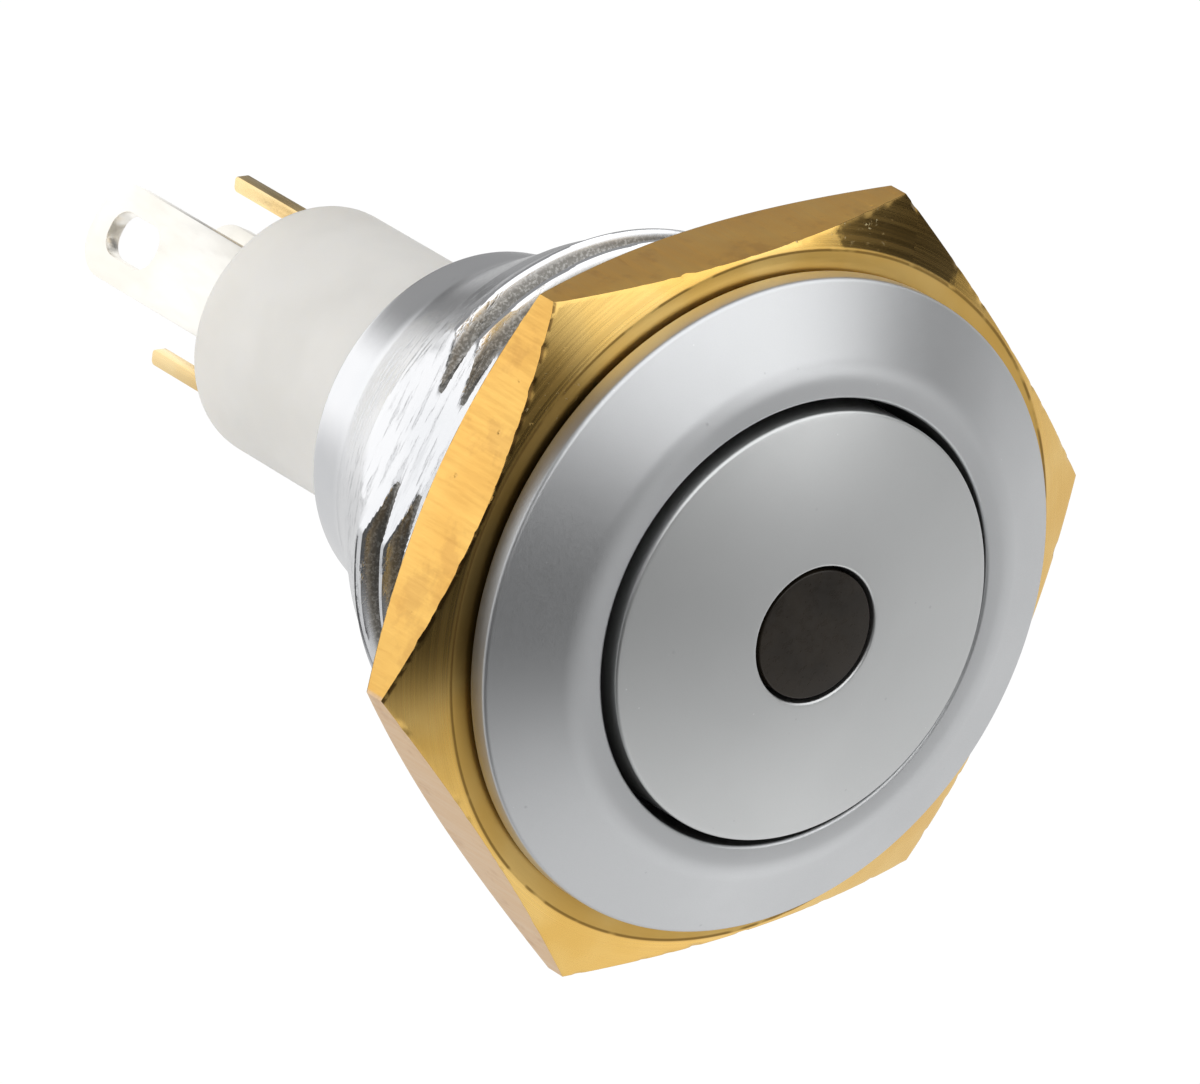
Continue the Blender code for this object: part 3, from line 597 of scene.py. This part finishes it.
def finish_mesh(obj, angle=30.0, tools=()):
    """Apply the modifiers, keep creases sharp, make sure that the faces point out, and
    throw away the tools that cut the piece."""
    evaluated = obj.evaluated_get(bpy.context.evaluated_depsgraph_get())
    mesh = bpy.data.meshes.new_from_object(evaluated)
    old = obj.data
    obj.modifiers.clear()
    obj.data = mesh
    bpy.data.meshes.remove(old)
    mesh.name = obj.name
    mesh.shade_smooth()
    mesh.set_sharp_from_angle(angle=math.radians(angle))
    triangles, volume = face_outwards(mesh)
    print(f"{obj.name}: {triangles} triangles, {volume * 1e9:.1f} mm3")
    for tool in tools:
        bpy.data.objects.remove(tool)


def place(obj, body, slot, node):
    """Hand a finished piece to the frame: its body and its node. The record slot is not used.
    """
    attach(obj, body)
    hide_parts(node)


# %% [markdown]
# ## Bezel and barrel, with a real thread
# The barrel is one casting: a sloped bezel in front, an M16 thread with two flats, and a
# tapered end rolled in over the plastic. A thread is a rule and not a drawing: its groove
# depth depends only on height and angle. So the casting is spun with a plain cylinder where
# the thread goes, and a Geometry Nodes tree then cuts the groove by moving each point
# inwards, and flattens the two sides. The same tree cuts the nut's bore, so both match.

# %% Thread tree
PITCH = 1.0
THREAD_DEPTH = 0.5
THREAD_PHASE = 0.08
CREST_SHARE = 0.14
ROOT_SHARE = 0.18


def point_parts(tree):
    """X, Y and Z of the points that a Geometry Nodes tree is at."""
    return tree.split(tree.add("GeometryNodeInputPosition"))


def end_tree(tree, end, geometry, **inputs):
    """Close a Geometry Nodes tree with plain geometry that carries its material."""
    real = tree.add("GeometryNodeRealizeInstances", {0: geometry})
    painted = tree.add("GeometryNodeSetMaterial", {"Geometry": real, **inputs})
    tree.feed(end, 0, painted)
    return tree.tree


def thread_tree():
    """Moves points inwards by a helical groove, then presses both sides flat."""
    tree, given, end = new_group("thread_and_flats", [
        ("Geometry", "Geometry", None), ("Pitch", "Float", PITCH * MM),
        ("Depth", "Float", THREAD_DEPTH * MM), ("Phase", "Float", THREAD_PHASE),
        ("Half Width", "Float", 1.0), ("Flats Below", "Float", 0.0),
        ("Material", "Material", None)], [("Geometry", "Geometry")], "GeometryNodeTree")
    weight = tree.add("GeometryNodeInputNamedAttribute", {"Name": "thread"},
                      data_type="FLOAT")
    parts = point_parts(tree)
    turns = tree.math("DIVIDE", tree.math("ARCTAN2", parts[1], parts[0]), 2 * math.pi)
    pitches = tree.math("DIVIDE", parts[2], given["Pitch"])
    along = tree.math("ADD", tree.math("SUBTRACT", pitches, turns), given["Phase"])
    from_half = tree.math("SUBTRACT", tree.math("FRACT", along), 0.5)
    from_root = tree.times(tree.math("ABSOLUTE", from_half), 2.0)
    groove = tree.ramp(from_root, ROOT_SHARE, 1 - CREST_SHARE, 1.0, 0.0, "LINEAR")
    inward = tree.times(groove, weight, given["Depth"], -1.0)
    away = tree.vector("NORMALIZE", tree.join(parts[0], parts[1]))
    move = tree.add("ShaderNodeVectorMath", {0: away, 3: inward}, operation="SCALE")
    cut = tree.add("GeometryNodeSetPosition", {"Geometry": given["Geometry"], "Offset": move})
    moved = point_parts(tree)
    half = given["Half Width"]
    pressed = tree.math("MAXIMUM", tree.math("MINIMUM", moved[1], half),
                        tree.times(half, -1.0))
    behind = tree.add("FunctionNodeCompare", {0: moved[2], 1: given["Flats Below"]},
                      data_type="FLOAT", operation="LESS_THAN")
    press = tree.add("GeometryNodeSetPosition", {
        "Geometry": cut, "Selection": behind,
        "Position": tree.join(moved[0], pressed, moved[2])})
    threaded = tree.add("FunctionNodeCompare", {0: weight, 1: 0.001},
                        data_type="FLOAT", operation="GREATER_THAN")
    return end_tree(tree, end, press, Selection=threaded, Material=given["Material"])


THREAD = thread_tree()


def apply_tree(obj, group, slot, values):
    """Give an object a Geometry Nodes modifier with its inputs set by identifier."""
    values = {**values, "Material": materials[slot]}
    modifier = obj.modifiers.new(group.name, "NODES")
    modifier.node_group = group
    for item in group.interface.items_tree:
        if item.item_type == "SOCKET" and item.in_out == "INPUT" and item.name in values:
            modifier[item.identifier] = values[item.name]


print("thread inputs:", [item.name for item in THREAD.interface.items_tree])

# %% Bezel and barrel
BEZEL_RADIUS = 9.35
POCKET_RADIUS = 6.85
BORE_RADIUS = 6.38
BORE_SHOULDER = -1.29
THREAD_ROWS = 180
FLATS_BELOW = -0.6


def barrel_profile():
    """The casting's outline and, for each row, its thread weight and material."""
    front = rounded([
        (POCKET_RADIUS, BORE_SHOULDER, 0), (BORE_RADIUS, BORE_SHOULDER, 0),
        (BORE_RADIUS, 1.85, 0.1), (7.2, 1.8, 2.0), (BEZEL_RADIUS, 0.615, 0.18),
        (BEZEL_RADIUS, 0.0, 0.04), (THREAD_RADIUS, 0.0, 0)], 10)
    cylinder = straight((THREAD_RADIUS, -0.02), (THREAD_RADIUS, THREAD_END), THREAD_ROWS)
    rear = rounded([
        (THREAD_RADIUS, THREAD_END, 0), (7.6, -7.95, 0.4), (7.15, -8.86, 0.06),
        (7.045, -8.95, 0.06), (5.55, -11.7, 2.4),
        (5.1, -13.6, 0.5), (3.89, -13.6, 0.05), (3.89, -12.9, 0), (4.5, -12.9, 0),
        (4.87, -11.7, 0), (POCKET_RADIUS, -8.07, 0), (POCKET_RADIUS, -7.5, 0)], 10)[1:]
    cone = []
    for first, second in zip(rear, rear[1:]):
        gap = (Vector(second) - Vector(first)).length
        cone += straight(first, second, max(1, round(gap / 0.25)))[:-1]
    profile = front + cylinder + cone + [rear[-1]]
    weights, slots = [], []
    for row, (_, height) in enumerate(profile):
        on_thread = len(front) <= row < len(front) + len(cylinder)
        fade = min(1.0, (-height - 0.35) / 0.4, (height - THREAD_END) / 0.2)
        weights.append(max(0.0, fade) if on_thread else 0.0)
        on_bezel = row < len(front) - 1 and height >= 0
        slots.append(0 if on_bezel else 1)
    return profile, weights, slots


profile, weights, slots = barrel_profile()
barrel = lathe("bezel_and_barrel", profile, ["satin_bezel", "bright_chrome"], 288, slots,
               weights)
apply_tree(barrel, THREAD, "bright_chrome", {
    "Half Width": FLAT_HALF * MM, "Flats Below": FLATS_BELOW * MM})
finish_mesh(barrel, 28)
place(barrel, "housing", "bright_chrome", "bezel_barrel")

# %% [markdown]
# ## Nut
# The nut was sawn from drawn hexagon bar and chamfered on a lathe. Where a cone meets six
# flats the edge is a curve that dips at each corner. A grid in polar form finds it without
# any cutting: at each angle the outline reaches out to the hexagon's own radius, and the
# chamfer simply ends there. Small nicks lower the front edge here and there, and the two
# rows just inside the edge stay where they are, so that only the edge is broken.

# %% Nut mesh
NUT_BOTTOM = -2.65
NUT_TURN = math.radians(2.8)
NUT_BORE = 7.97
BORE_CHAMFER = 0.45
FRONT_SLOPE = math.tan(math.radians(26.5))
REAR_SLOPE = math.tan(math.radians(31.0))
COLUMNS_PER_FLAT = 96


def nut_row(reach, nick):
    """Outline of the nut at one angle, split into its bore and the rest. Reach is the
    hexagon's radius there, and nick is how far the front edge is knocked down."""
    def front(radius):
        return NUT_TOP - (radius - NUT_FACE) * FRONT_SLOPE

    sound = max(0.4 * NUT_FACE + 0.6 * reach, reach - 0.12)
    firm = max((NUT_FACE + sound) / 2, sound - 0.05)
    outline = rounded([
        (NUT_BORE, NUT_BOTTOM + BORE_CHAMFER, 0), (NUT_BORE, NUT_TOP - BORE_CHAMFER, 0),
        (NUT_BORE + BORE_CHAMFER, NUT_TOP, 0.03), (NUT_FACE, NUT_TOP, 0.06),
        (firm, front(firm), 0), (sound, front(sound), 0),
        (reach, front(reach) - nick, 0.03),
        (reach, NUT_BOTTOM + (reach - NUT_FACE) * REAR_SLOPE, 0.05),
        (NUT_FACE, NUT_BOTTOM, 0.06), (NUT_BORE + BORE_CHAMFER, NUT_BOTTOM, 0.03)], 4)
    return straight(outline[0], outline[1], 56), outline[2:]


def build_nut():
    """Walk round the nut, one column of points for each angle, and join the columns."""
    columns = []
    for flat in range(6):
        middle = NUT_TURN + math.pi / 6 + math.pi / 3 * flat
        for step in range(COLUMNS_PER_FLAT):
            across = math.tan(math.pi / 6) * (2 * step / COLUMNS_PER_FLAT - 1)
            columns.append((middle + math.atan(across), math.atan(across)))
    vertices, faces, face_slots, weights = [], [], [], []
    for angle, from_middle in columns:
        along = Vector((math.cos(angle), math.sin(angle), 0.0)) * NUT_FLATS / 2
        nick = max(0.0, noise.noise(along * 3.1) - 0.15) * 0.16
        bore, rest = nut_row(NUT_FLATS / 2 / math.cos(from_middle), nick)
        vertices += [around(radius, angle, height) for radius, height in bore + rest]
        weights += [min(1.0, min(row, len(bore) - 1 - row) / 4) for row in range(len(bore))]
        weights += [0.0] * len(rest)
    rows = len(bore) + len(rest)
    for column in range(len(columns)):
        here, after = column * rows, (column + 1) % len(columns) * rows
        for row in range(rows):
            above = (row + 1) % rows
            faces.append((here + row, here + above, after + above, after + row))
            first, second = vertices[here + row], vertices[here + above]
            falls = abs(first[0] - second[0]) < 1e-7 and first[2] > second[2]
            outer = math.hypot(*first[:2]) > (NUT_FACE + 0.05) * MM
            face_slots.append(1 if outer and falls else 0)
    return mesh_object("brass_nut", vertices, faces, ["turned_brass", "drawn_brass"],
                       face_slots, weights)


nut = build_nut()
apply_tree(nut, THREAD, "turned_brass", {"Flats Below": -1.0})
finish_mesh(nut, 20)
place(nut, "nut", "bare_brass", "hex_nut")

# %% [markdown]
# ## Button and window
# The button is a shallow dome with a hole in its middle for the lamp's window. Its gap to
# the bezel is a quarter of a millimetre, which reads as the dark ring round it. The window
# sits a little below the hole's rounded rim.

# %% Button and window
DOME_RADIUS = 27.5
BUTTON_RADIUS = 6.12
BUTTON_EDGE = 2.11
WINDOW_HOLE = 1.95
WINDOW_RADIUS = 1.83


def dome_height(radius):
    """Height of the button's domed face at a distance from the axis."""
    drop = DOME_RADIUS - math.sqrt(DOME_RADIUS ** 2 - radius ** 2)
    return BUTTON_EDGE + DOME_RADIUS - math.sqrt(DOME_RADIUS ** 2 - BUTTON_RADIUS ** 2) - drop


face = []
for step in range(1, 24):
    radius = WINDOW_HOLE + (BUTTON_RADIUS - WINDOW_HOLE) * step / 24
    face.append((radius, dome_height(radius), 0))
button = lathe("satin_button", rounded([
    (WINDOW_HOLE, 1.21, 0), (WINDOW_HOLE, dome_height(WINDOW_HOLE), 0.2), *face,
    (BUTTON_RADIUS, BUTTON_EDGE, 0.1), (BUTTON_RADIUS, 0.09, 0), (5.56, 0.09, 0),
    (5.56, -0.77, 0), (BUTTON_RADIUS, -0.77, 0), (BUTTON_RADIUS, -1.44, 0), (6.6, -1.44, 0),
    (6.6, -1.99, 0), (5.1, -1.99, 0), (5.1, 1.21, 0)], 8), ["satin_button"], 224)
finish_mesh(button, 28)
place(button, "button", "satin_chrome", "button_cap")

window_top = dome_height(WINDOW_RADIUS) - 0.05
window = lathe("lamp_window", rounded([
    (0, 0.46, 0), (0, window_top + 0.03, 0), (0.9, window_top + 0.025, 0),
    (WINDOW_RADIUS, window_top, 0.04), (WINDOW_RADIUS, 1.06, 0), (2.48, 1.06, 0),
    (2.48, 0.46, 0)], 6), ["smoked_window"], 96)
finish_mesh(window)
place(window, "button", "smoked_window", "button_window")

# %% [markdown]
# ## Plastic body and terminals
# The body is a moulded tube with a closed rear wall. The lugs and pins come out through
# slots in that wall, which are cut with Boolean modifiers. The lugs are stamped strip, so
# they are flat outlines pushed through their thickness and given a small bevel. Each slot
# is the strip's own outline, with a little room all round.

# %% Plates and cutters
def prism(name, outline, axis, slot, thickness, middle=0.0):
    """Push a flat outline in millimetres through a thickness along X or Y."""
    vertices = []
    for depth in (middle - thickness / 2, middle + thickness / 2):
        for across, height in outline:
            point = (depth, across, height) if axis == "X" else (across, depth, height)
            vertices.append([value * MM for value in point])
    count = len(outline)
    faces = [tuple(range(count)), tuple(reversed(range(count, 2 * count)))]
    for step in range(count):
        after = (step + 1) % count
        faces.append((after, step, step + count, after + count))
    obj = mesh_object(name, vertices, faces, [slot])
    face_outwards(obj.data)
    return obj


def plate(middle, width, start, tip, start_fillet=0, tip_fillet=0, steps=8):
    """Outline of a straight plate that runs from the height start to the height tip."""
    left, right = middle - width / 2, middle + width / 2
    return rounded([(left, start, start_fillet), (right, start, start_fillet),
                    (right, tip, tip_fillet), (left, tip, tip_fillet)], steps)


def leg(side, top, seat, tip, room=0.0):
    """Side view of a contact strip: its seat above, the jog, and the leg down to its tip."""
    return [(side * across, height) for across, height in (
        (5.25 - room, top), (6.6 + room, top), (6.6 + room, seat), (5.65 + room, seat),
        (5.65 + room, -8.94 - room), (2.2 + room, -8.94 - room), (2.2 + room, tip),
        (1.8 - room, tip), (1.8 - room, -8.54 + room), (5.25 - room, -8.54 + room))]


def boolean(target, tool, operation="DIFFERENCE"):
    modifier = target.modifiers.new(tool.name, "BOOLEAN")
    modifier.operation = operation
    modifier.solver = "EXACT"
    modifier.object = tool


def stamp(strip, blade, holes, width):
    """Join a blade to a strip, cut its holes and break the edges by a width."""
    boolean(strip, blade, "UNION")
    for hole in holes:
        boolean(strip, hole)
    modifier = strip.modifiers.new("bevel", "BEVEL")
    modifier.width = width * MM
    modifier.segments = 2
    modifier.limit_method = "ANGLE"
    modifier.angle_limit = math.radians(35.0)
    finish_mesh(strip, 40, [blade, *holes])
    return strip


# %% Plastic body
LUG_Y = 2.0
PIN_X = 2.7
TAIL_END = -21.5
SLOT_ROOM = 0.15
body = lathe("plastic_body", rounded([
    (1.005, -4.79, 0.1), (1.65, -4.79, 0.1), (1.65, -7.99, 0), (6.68, -7.99, 0.05),
    (4.68, -11.7, 0), (4.33, -12.75, 0), (3.74, -12.75, 0.05), (3.74, TAIL_END, 0.5),
    (0, TAIL_END, 0), (0, -20.0, 0), (3.2, -20.0, 0.3), (3.2, -10.3, 0), (1.005, -10.3, 0)],
    10), ["milky_plastic"], 160)
tools = []
for side, end in ((-1, "near"), (1, "far")):
    tools.append(prism("leg_slot_" + end, leg(side, -6.9, -7.985, -23.0, SLOT_ROOM), "X",
                       "milky_plastic", 1.9))
for side, end in ((-1, "left"), (1, "right")):
    tools.append(prism("pin_slot_" + end, plate(side * PIN_X, 0.62, -23.0, -18.5), "Y",
                       "milky_plastic", 0.56))
for tool in tools:
    boolean(body, tool)
finish_mesh(body, tools=tools)
place(body, "housing", "milky_plastic", "terminal_base")

# %% Solder lugs
LUG_TIP = -28.8
BLADE_START = TAIL_END - 0.15


def build_lug(name, side):
    """Contact strip, jog and solder lug, cut and bevelled as one stamping."""
    strip = prism(name, leg(side, -7.44, -7.84, -22.4), "X", "tinned_copper", 1.6)
    outline = plate(0, 2.8, BLADE_START, LUG_TIP, tip_fillet=1.15, steps=12)
    blade = prism(name + "_blade", outline, "Y", "tinned_copper", 0.5, side * LUG_Y)
    outline = plate(0, 1.32, -25.75, -28.0, 0.64, 0.64, steps=10)
    hole = prism(name + "_hole", outline, "Y", "tinned_copper", 2.0, side * LUG_Y)
    return stamp(strip, blade, [hole], 0.045)


for side, end in ((-1, "near"), (1, "far")):
    lug = build_lug("solder_lug_" + end, side)
    place(lug, "housing", "tinned_copper", "fixed_contact_" + end)

# %% Lamp pins
PIN_TIP = -26.4
PIN_TWIST = 24.0


def build_pin(name, side):
    """Flat pin with a narrower shank inside the body, a broken tip and a slight twist."""
    shank = prism(name, plate(side * PIN_X, 0.36, -22.1, -19.4), "Y", "gold_plate", 0.27)
    outline = plate(side * PIN_X, 0.46, BLADE_START, PIN_TIP, tip_fillet=0.14, steps=5)
    blade = prism(name + "_blade", outline, "Y", "gold_plate", 0.4)
    middle = Matrix.Translation((side * PIN_X * MM, 0, 0))
    turn = Matrix.Rotation(math.radians(PIN_TWIST), 4, "Z")
    blade.data.transform(middle @ turn @ middle.inverted())
    return stamp(shank, blade, [], 0.03)


for side, node in ((-1, "led_pin_cathode"), (1, "led_pin_anode")):
    place(build_pin("lamp_" + node[4:], side), "housing", "gold_plate", node)

# %% [markdown]
# ## Springs
# A coil spring is wire that follows a rule: so much rise for each turn, with the first and
# last turns closed up flat. Geometry Nodes draw the centre line as a spiral, lift each
# point to its height, and sweep a round wire along it. The return spring shortens as the
# button goes down and the contact spring as the moving contact is pushed home.

# %% Spring tree
def spring_tree():
    """A coil of round wire with a closed turn at each end."""
    tree, given, end = new_group("coil_spring", [
        ("Geometry", "Geometry", None), ("Coil Radius", "Float", 0.004),
        ("Wire Radius", "Float", 0.0002), ("Turns", "Float", 5.0),
        ("Bottom", "Float", 0.0), ("Top", "Float", 0.01), ("Material", "Material", None)],
        [("Geometry", "Geometry")], "GeometryNodeTree")
    coil, wire, turns = given["Coil Radius"], given["Wire Radius"], given["Turns"]
    spiral = tree.add("GeometryNodeCurveSpiral", {
        "Resolution": 40, "Rotations": turns, "Start Radius": coil, "End Radius": coil,
        "Height": 1.0})
    share = tree.add("GeometryNodeSplineParameter").outputs["Factor"]
    turn = tree.times(share, turns)
    closed = tree.times(wire, 2.5)
    low = tree.math("ADD", given["Bottom"], wire)
    high = tree.math("SUBTRACT", given["Top"], wire)
    last = tree.math("SUBTRACT", turns, 1.0)
    rise = tree.math("SUBTRACT", high, low)
    open_rise = tree.math("SUBTRACT", rise, tree.times(closed, 2.0))
    first_part = tree.ramp(turn, 0.0, 1.0, 0.0, closed, "LINEAR")
    middle_part = tree.ramp(turn, 1.0, last, 0.0, open_rise, "LINEAR")
    last_part = tree.ramp(turn, last, turns, 0.0, closed, "LINEAR")
    height = tree.math("ADD", tree.math("ADD", first_part, middle_part),
                       tree.math("ADD", last_part, low))
    parts = point_parts(tree)
    lifted = tree.add("GeometryNodeSetPosition", {
        "Geometry": spiral, "Position": tree.join(parts[0], parts[1], height)})
    section = tree.add("GeometryNodeCurvePrimitiveCircle", {"Resolution": 12, "Radius": wire})
    swept = tree.add("GeometryNodeCurveToMesh", {
        "Curve": lifted, "Profile Curve": section, "Fill Caps": True})
    return end_tree(tree, end, swept, Material=given["Material"])


SPRING = spring_tree()


def build_spring(name, radius, wire, turns, bottom, top):
    spring = mesh_object(name, [(0, 0, 0)], [], ["spring_steel"])
    apply_tree(spring, SPRING, "spring_steel", {
        "Coil Radius": radius * MM, "Wire Radius": wire / 2 * MM, "Turns": turns,
        "Bottom": bottom * MM, "Top": top * MM})
    finish_mesh(spring, 50)
    return spring


return_spring = build_spring("return_coil", 3.30, 0.36, 5.5, -7.83, -2.89)
place(return_spring, "housing", "spring_steel", "return_spring")
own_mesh(return_spring)
contact_spring = build_spring("contact_coil", 5.73, 0.3, 3.5, -5.14, -2.89)
place(contact_spring, "button", "spring_steel", "contact_spring")
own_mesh(contact_spring)

# %% [markdown]
# ## Pieces that keep their own mesh
# The plunger, seal, moving contact, contact tips, lamp, resistor and leads are inside the
# barrel. Their solids already have the right shape, so they only get their finishes.

# %% Inner pieces
INNER = {
    "black_plastic": ["plunger"], "seal_rubber": ["button_seal"],
    "contact_silver": ["moving_contact", "contact_tip_near", "contact_tip_far"],
    "lamp_epoxy": ["led_lamp"], "resistor_coat": ["led_resistor"],
    "tinned_copper": ["led_anode_lead", "led_cathode_lead", "resistor_lead"],
}
for finish, nodes in INNER.items():
    for node in nodes:
        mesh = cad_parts[node].data
        mesh.materials.clear()
        mesh.materials.append(materials[finish])
print("inner pieces:", sum(map(len, INNER.values())))

# %% [markdown]
# ## Studio
# Metal looks like what it reflects, so the room matters as much as the material. The room
# is drawn by the world shader as a few soft panels, each given by the direction it hangs
# in. The camera sees plain white instead. The floor is pale paper that keeps a faint
# shadow under the switch.

# %% World
PANELS = (
    # direction, half angle in degrees, softness in degrees, strength
    ((-0.87, -0.29, 0.39), 50.0, 6.0, 1.47),
    ((0.77, 0.47, 0.44), 30.0, 35.0, 0.83),
    ((0.04, 0.99, 0.10), 29.0, 28.0, 0.74),
    ((-0.32, 0.45, 0.84), 8.0, 11.0, 2.4),
    ((0.16, 0.53, 0.83), 22.0, 37.0, 0.19),
    ((0.0, -0.75, 0.66), 9.0, 10.0, 1.3),
)
ROOM_LEVEL = 0.09
SOFT_LEVEL = 0.80


def bare_tree(owner):
    """Empty the node tree of a world or a material, to fill it anew."""
    owner.use_nodes = True
    owner.node_tree.nodes.clear()
    return Tree(owner.node_tree)


def glow(tree, kind, strength):
    return tree.add(kind, {"Color": (1, 1, 1, 1), "Strength": strength})


def blend(tree, factor, first, second):
    return tree.add("ShaderNodeMixShader", {0: factor, 1: first, 2: second})


def ray_kinds(tree):
    """Whether the camera looks straight at a place, and whether gloss or glass shows it."""
    path = tree.add("ShaderNodeLightPath").outputs
    mirrored = tree.math("MAXIMUM", path["Is Glossy Ray"], path["Is Transmission Ray"])
    return path["Is Camera Ray"], mirrored


def build_world():
    """Panels for what is mirrored, an even soft light for the rest, white for the camera."""
    world = bpy.data.worlds.new("studio")
    bpy.context.scene.world = world
    tree = bare_tree(world)
    direction = tree.add("ShaderNodeTexCoord").outputs["Generated"]
    level = ROOM_LEVEL
    for aim, half_angle, softness, strength in PANELS:
        facing = tree.vector("DOT_PRODUCT", direction, tuple(Vector(aim).normalized()))
        inner_edge = math.cos(math.radians(half_angle - softness / 2))
        outer_edge = math.cos(math.radians(half_angle + softness / 2))
        panel = tree.ramp(facing, outer_edge, inner_edge, 0.0, strength)
        level = tree.math("ADD", panel, level)
    room, soft, white = [glow(tree, "ShaderNodeBackground", strength)
                         for strength in (level, SOFT_LEVEL, 1.0)]
    seen, mirrored = ray_kinds(tree)
    both = blend(tree, seen, blend(tree, mirrored, soft, room), white)
    tree.add("ShaderNodeOutputWorld", {0: both})


build_world()
print("panels:", len(PANELS))

# %% Floor and lamps
PAPER_SIZE = 0.5
PAPER_LEVEL = 1.22
PAPER_BELOW = 0.00005
SHADED_SPOT = (-5.0, 2.0)


def build_floor():
    """Pale paper: nearly white to the camera, with a faint shadow. In what metal mirrors
    it glows, with painted shade beside and under the switch, and bright only far behind it."""
    height = LUG_TIP * MM - PAPER_BELOW
    corners = [(x * PAPER_SIZE, y * PAPER_SIZE, height)
               for x, y in ((-1, -1), (1, -1), (1, 1), (-1, 1))]
    mesh = bpy.data.meshes.new("paper")
    mesh.from_pydata(corners, [], [(0, 1, 2, 3)])
    floor = add_object("paper", mesh)
    material = bpy.data.materials.new("paper")
    mesh.materials.append(material)
    tree = bare_tree(material)
    place_mm = tree.millimetres()
    parts = tree.split(place_mm)
    # The glow that metal mirrors is painted darker beside the switch and round the shaded
    # spot under it: painted shade.
    left = tree.ramp(parts[0], -8.0, -1.5, 0.29, 1.0)
    slanted = tree.math("MULTIPLY_ADD", parts[1], 0.25, parts[0])
    right = tree.ramp(slanted, 0.75, 7.75, 1.0, 0.61)
    spot_away = tree.vector("DISTANCE", place_mm, (*SHADED_SPOT, LUG_TIP))
    shade_spot = tree.ramp(spot_away, 1.0, 4.5, 0.35, 1.0)
    near = tree.times(left, right, shade_spot, PAPER_LEVEL)
    far = tree.ramp(parts[1], 30.0, 110.0, 0.0, 0.88)
    paper = tree.add("ShaderNodeBsdfDiffuse", {"Color": (0.82, 0.82, 0.82, 1)})
    white = glow(tree, "ShaderNodeEmission", 1.06)
    shine = glow(tree, "ShaderNodeEmission", tree.math("MAXIMUM", near, far))
    seen, mirrored = ray_kinds(tree)
    plain = blend(tree, tree.times(seen, 0.9), paper, white)
    tree.add("ShaderNodeOutputMaterial", {0: blend(tree, mirrored, plain, shine)})


def add_lamp(name, aim, distance, size, power):
    """Square area lamp hung in a direction from the switch and turned to face it."""
    data = bpy.data.lights.new(name, "AREA")
    data.shape = "SQUARE"
    data.size = size
    data.energy = power
    lamp = add_object(name, data)
    lamp.visible_glossy = False
    direction = Vector(aim).normalized()
    lamp.location = direction * distance
    lamp.rotation_euler = direction.to_track_quat("Z", "Y").to_euler()


build_floor()
add_lamp("key", (-0.66, 0.20, 0.72), 0.45, 0.22, 0.2)
add_lamp("fill", (0.10, -0.95, 0.10), 0.5, 0.30, 0.6)
print("lamps:", [light.name for light in bpy.data.lights])
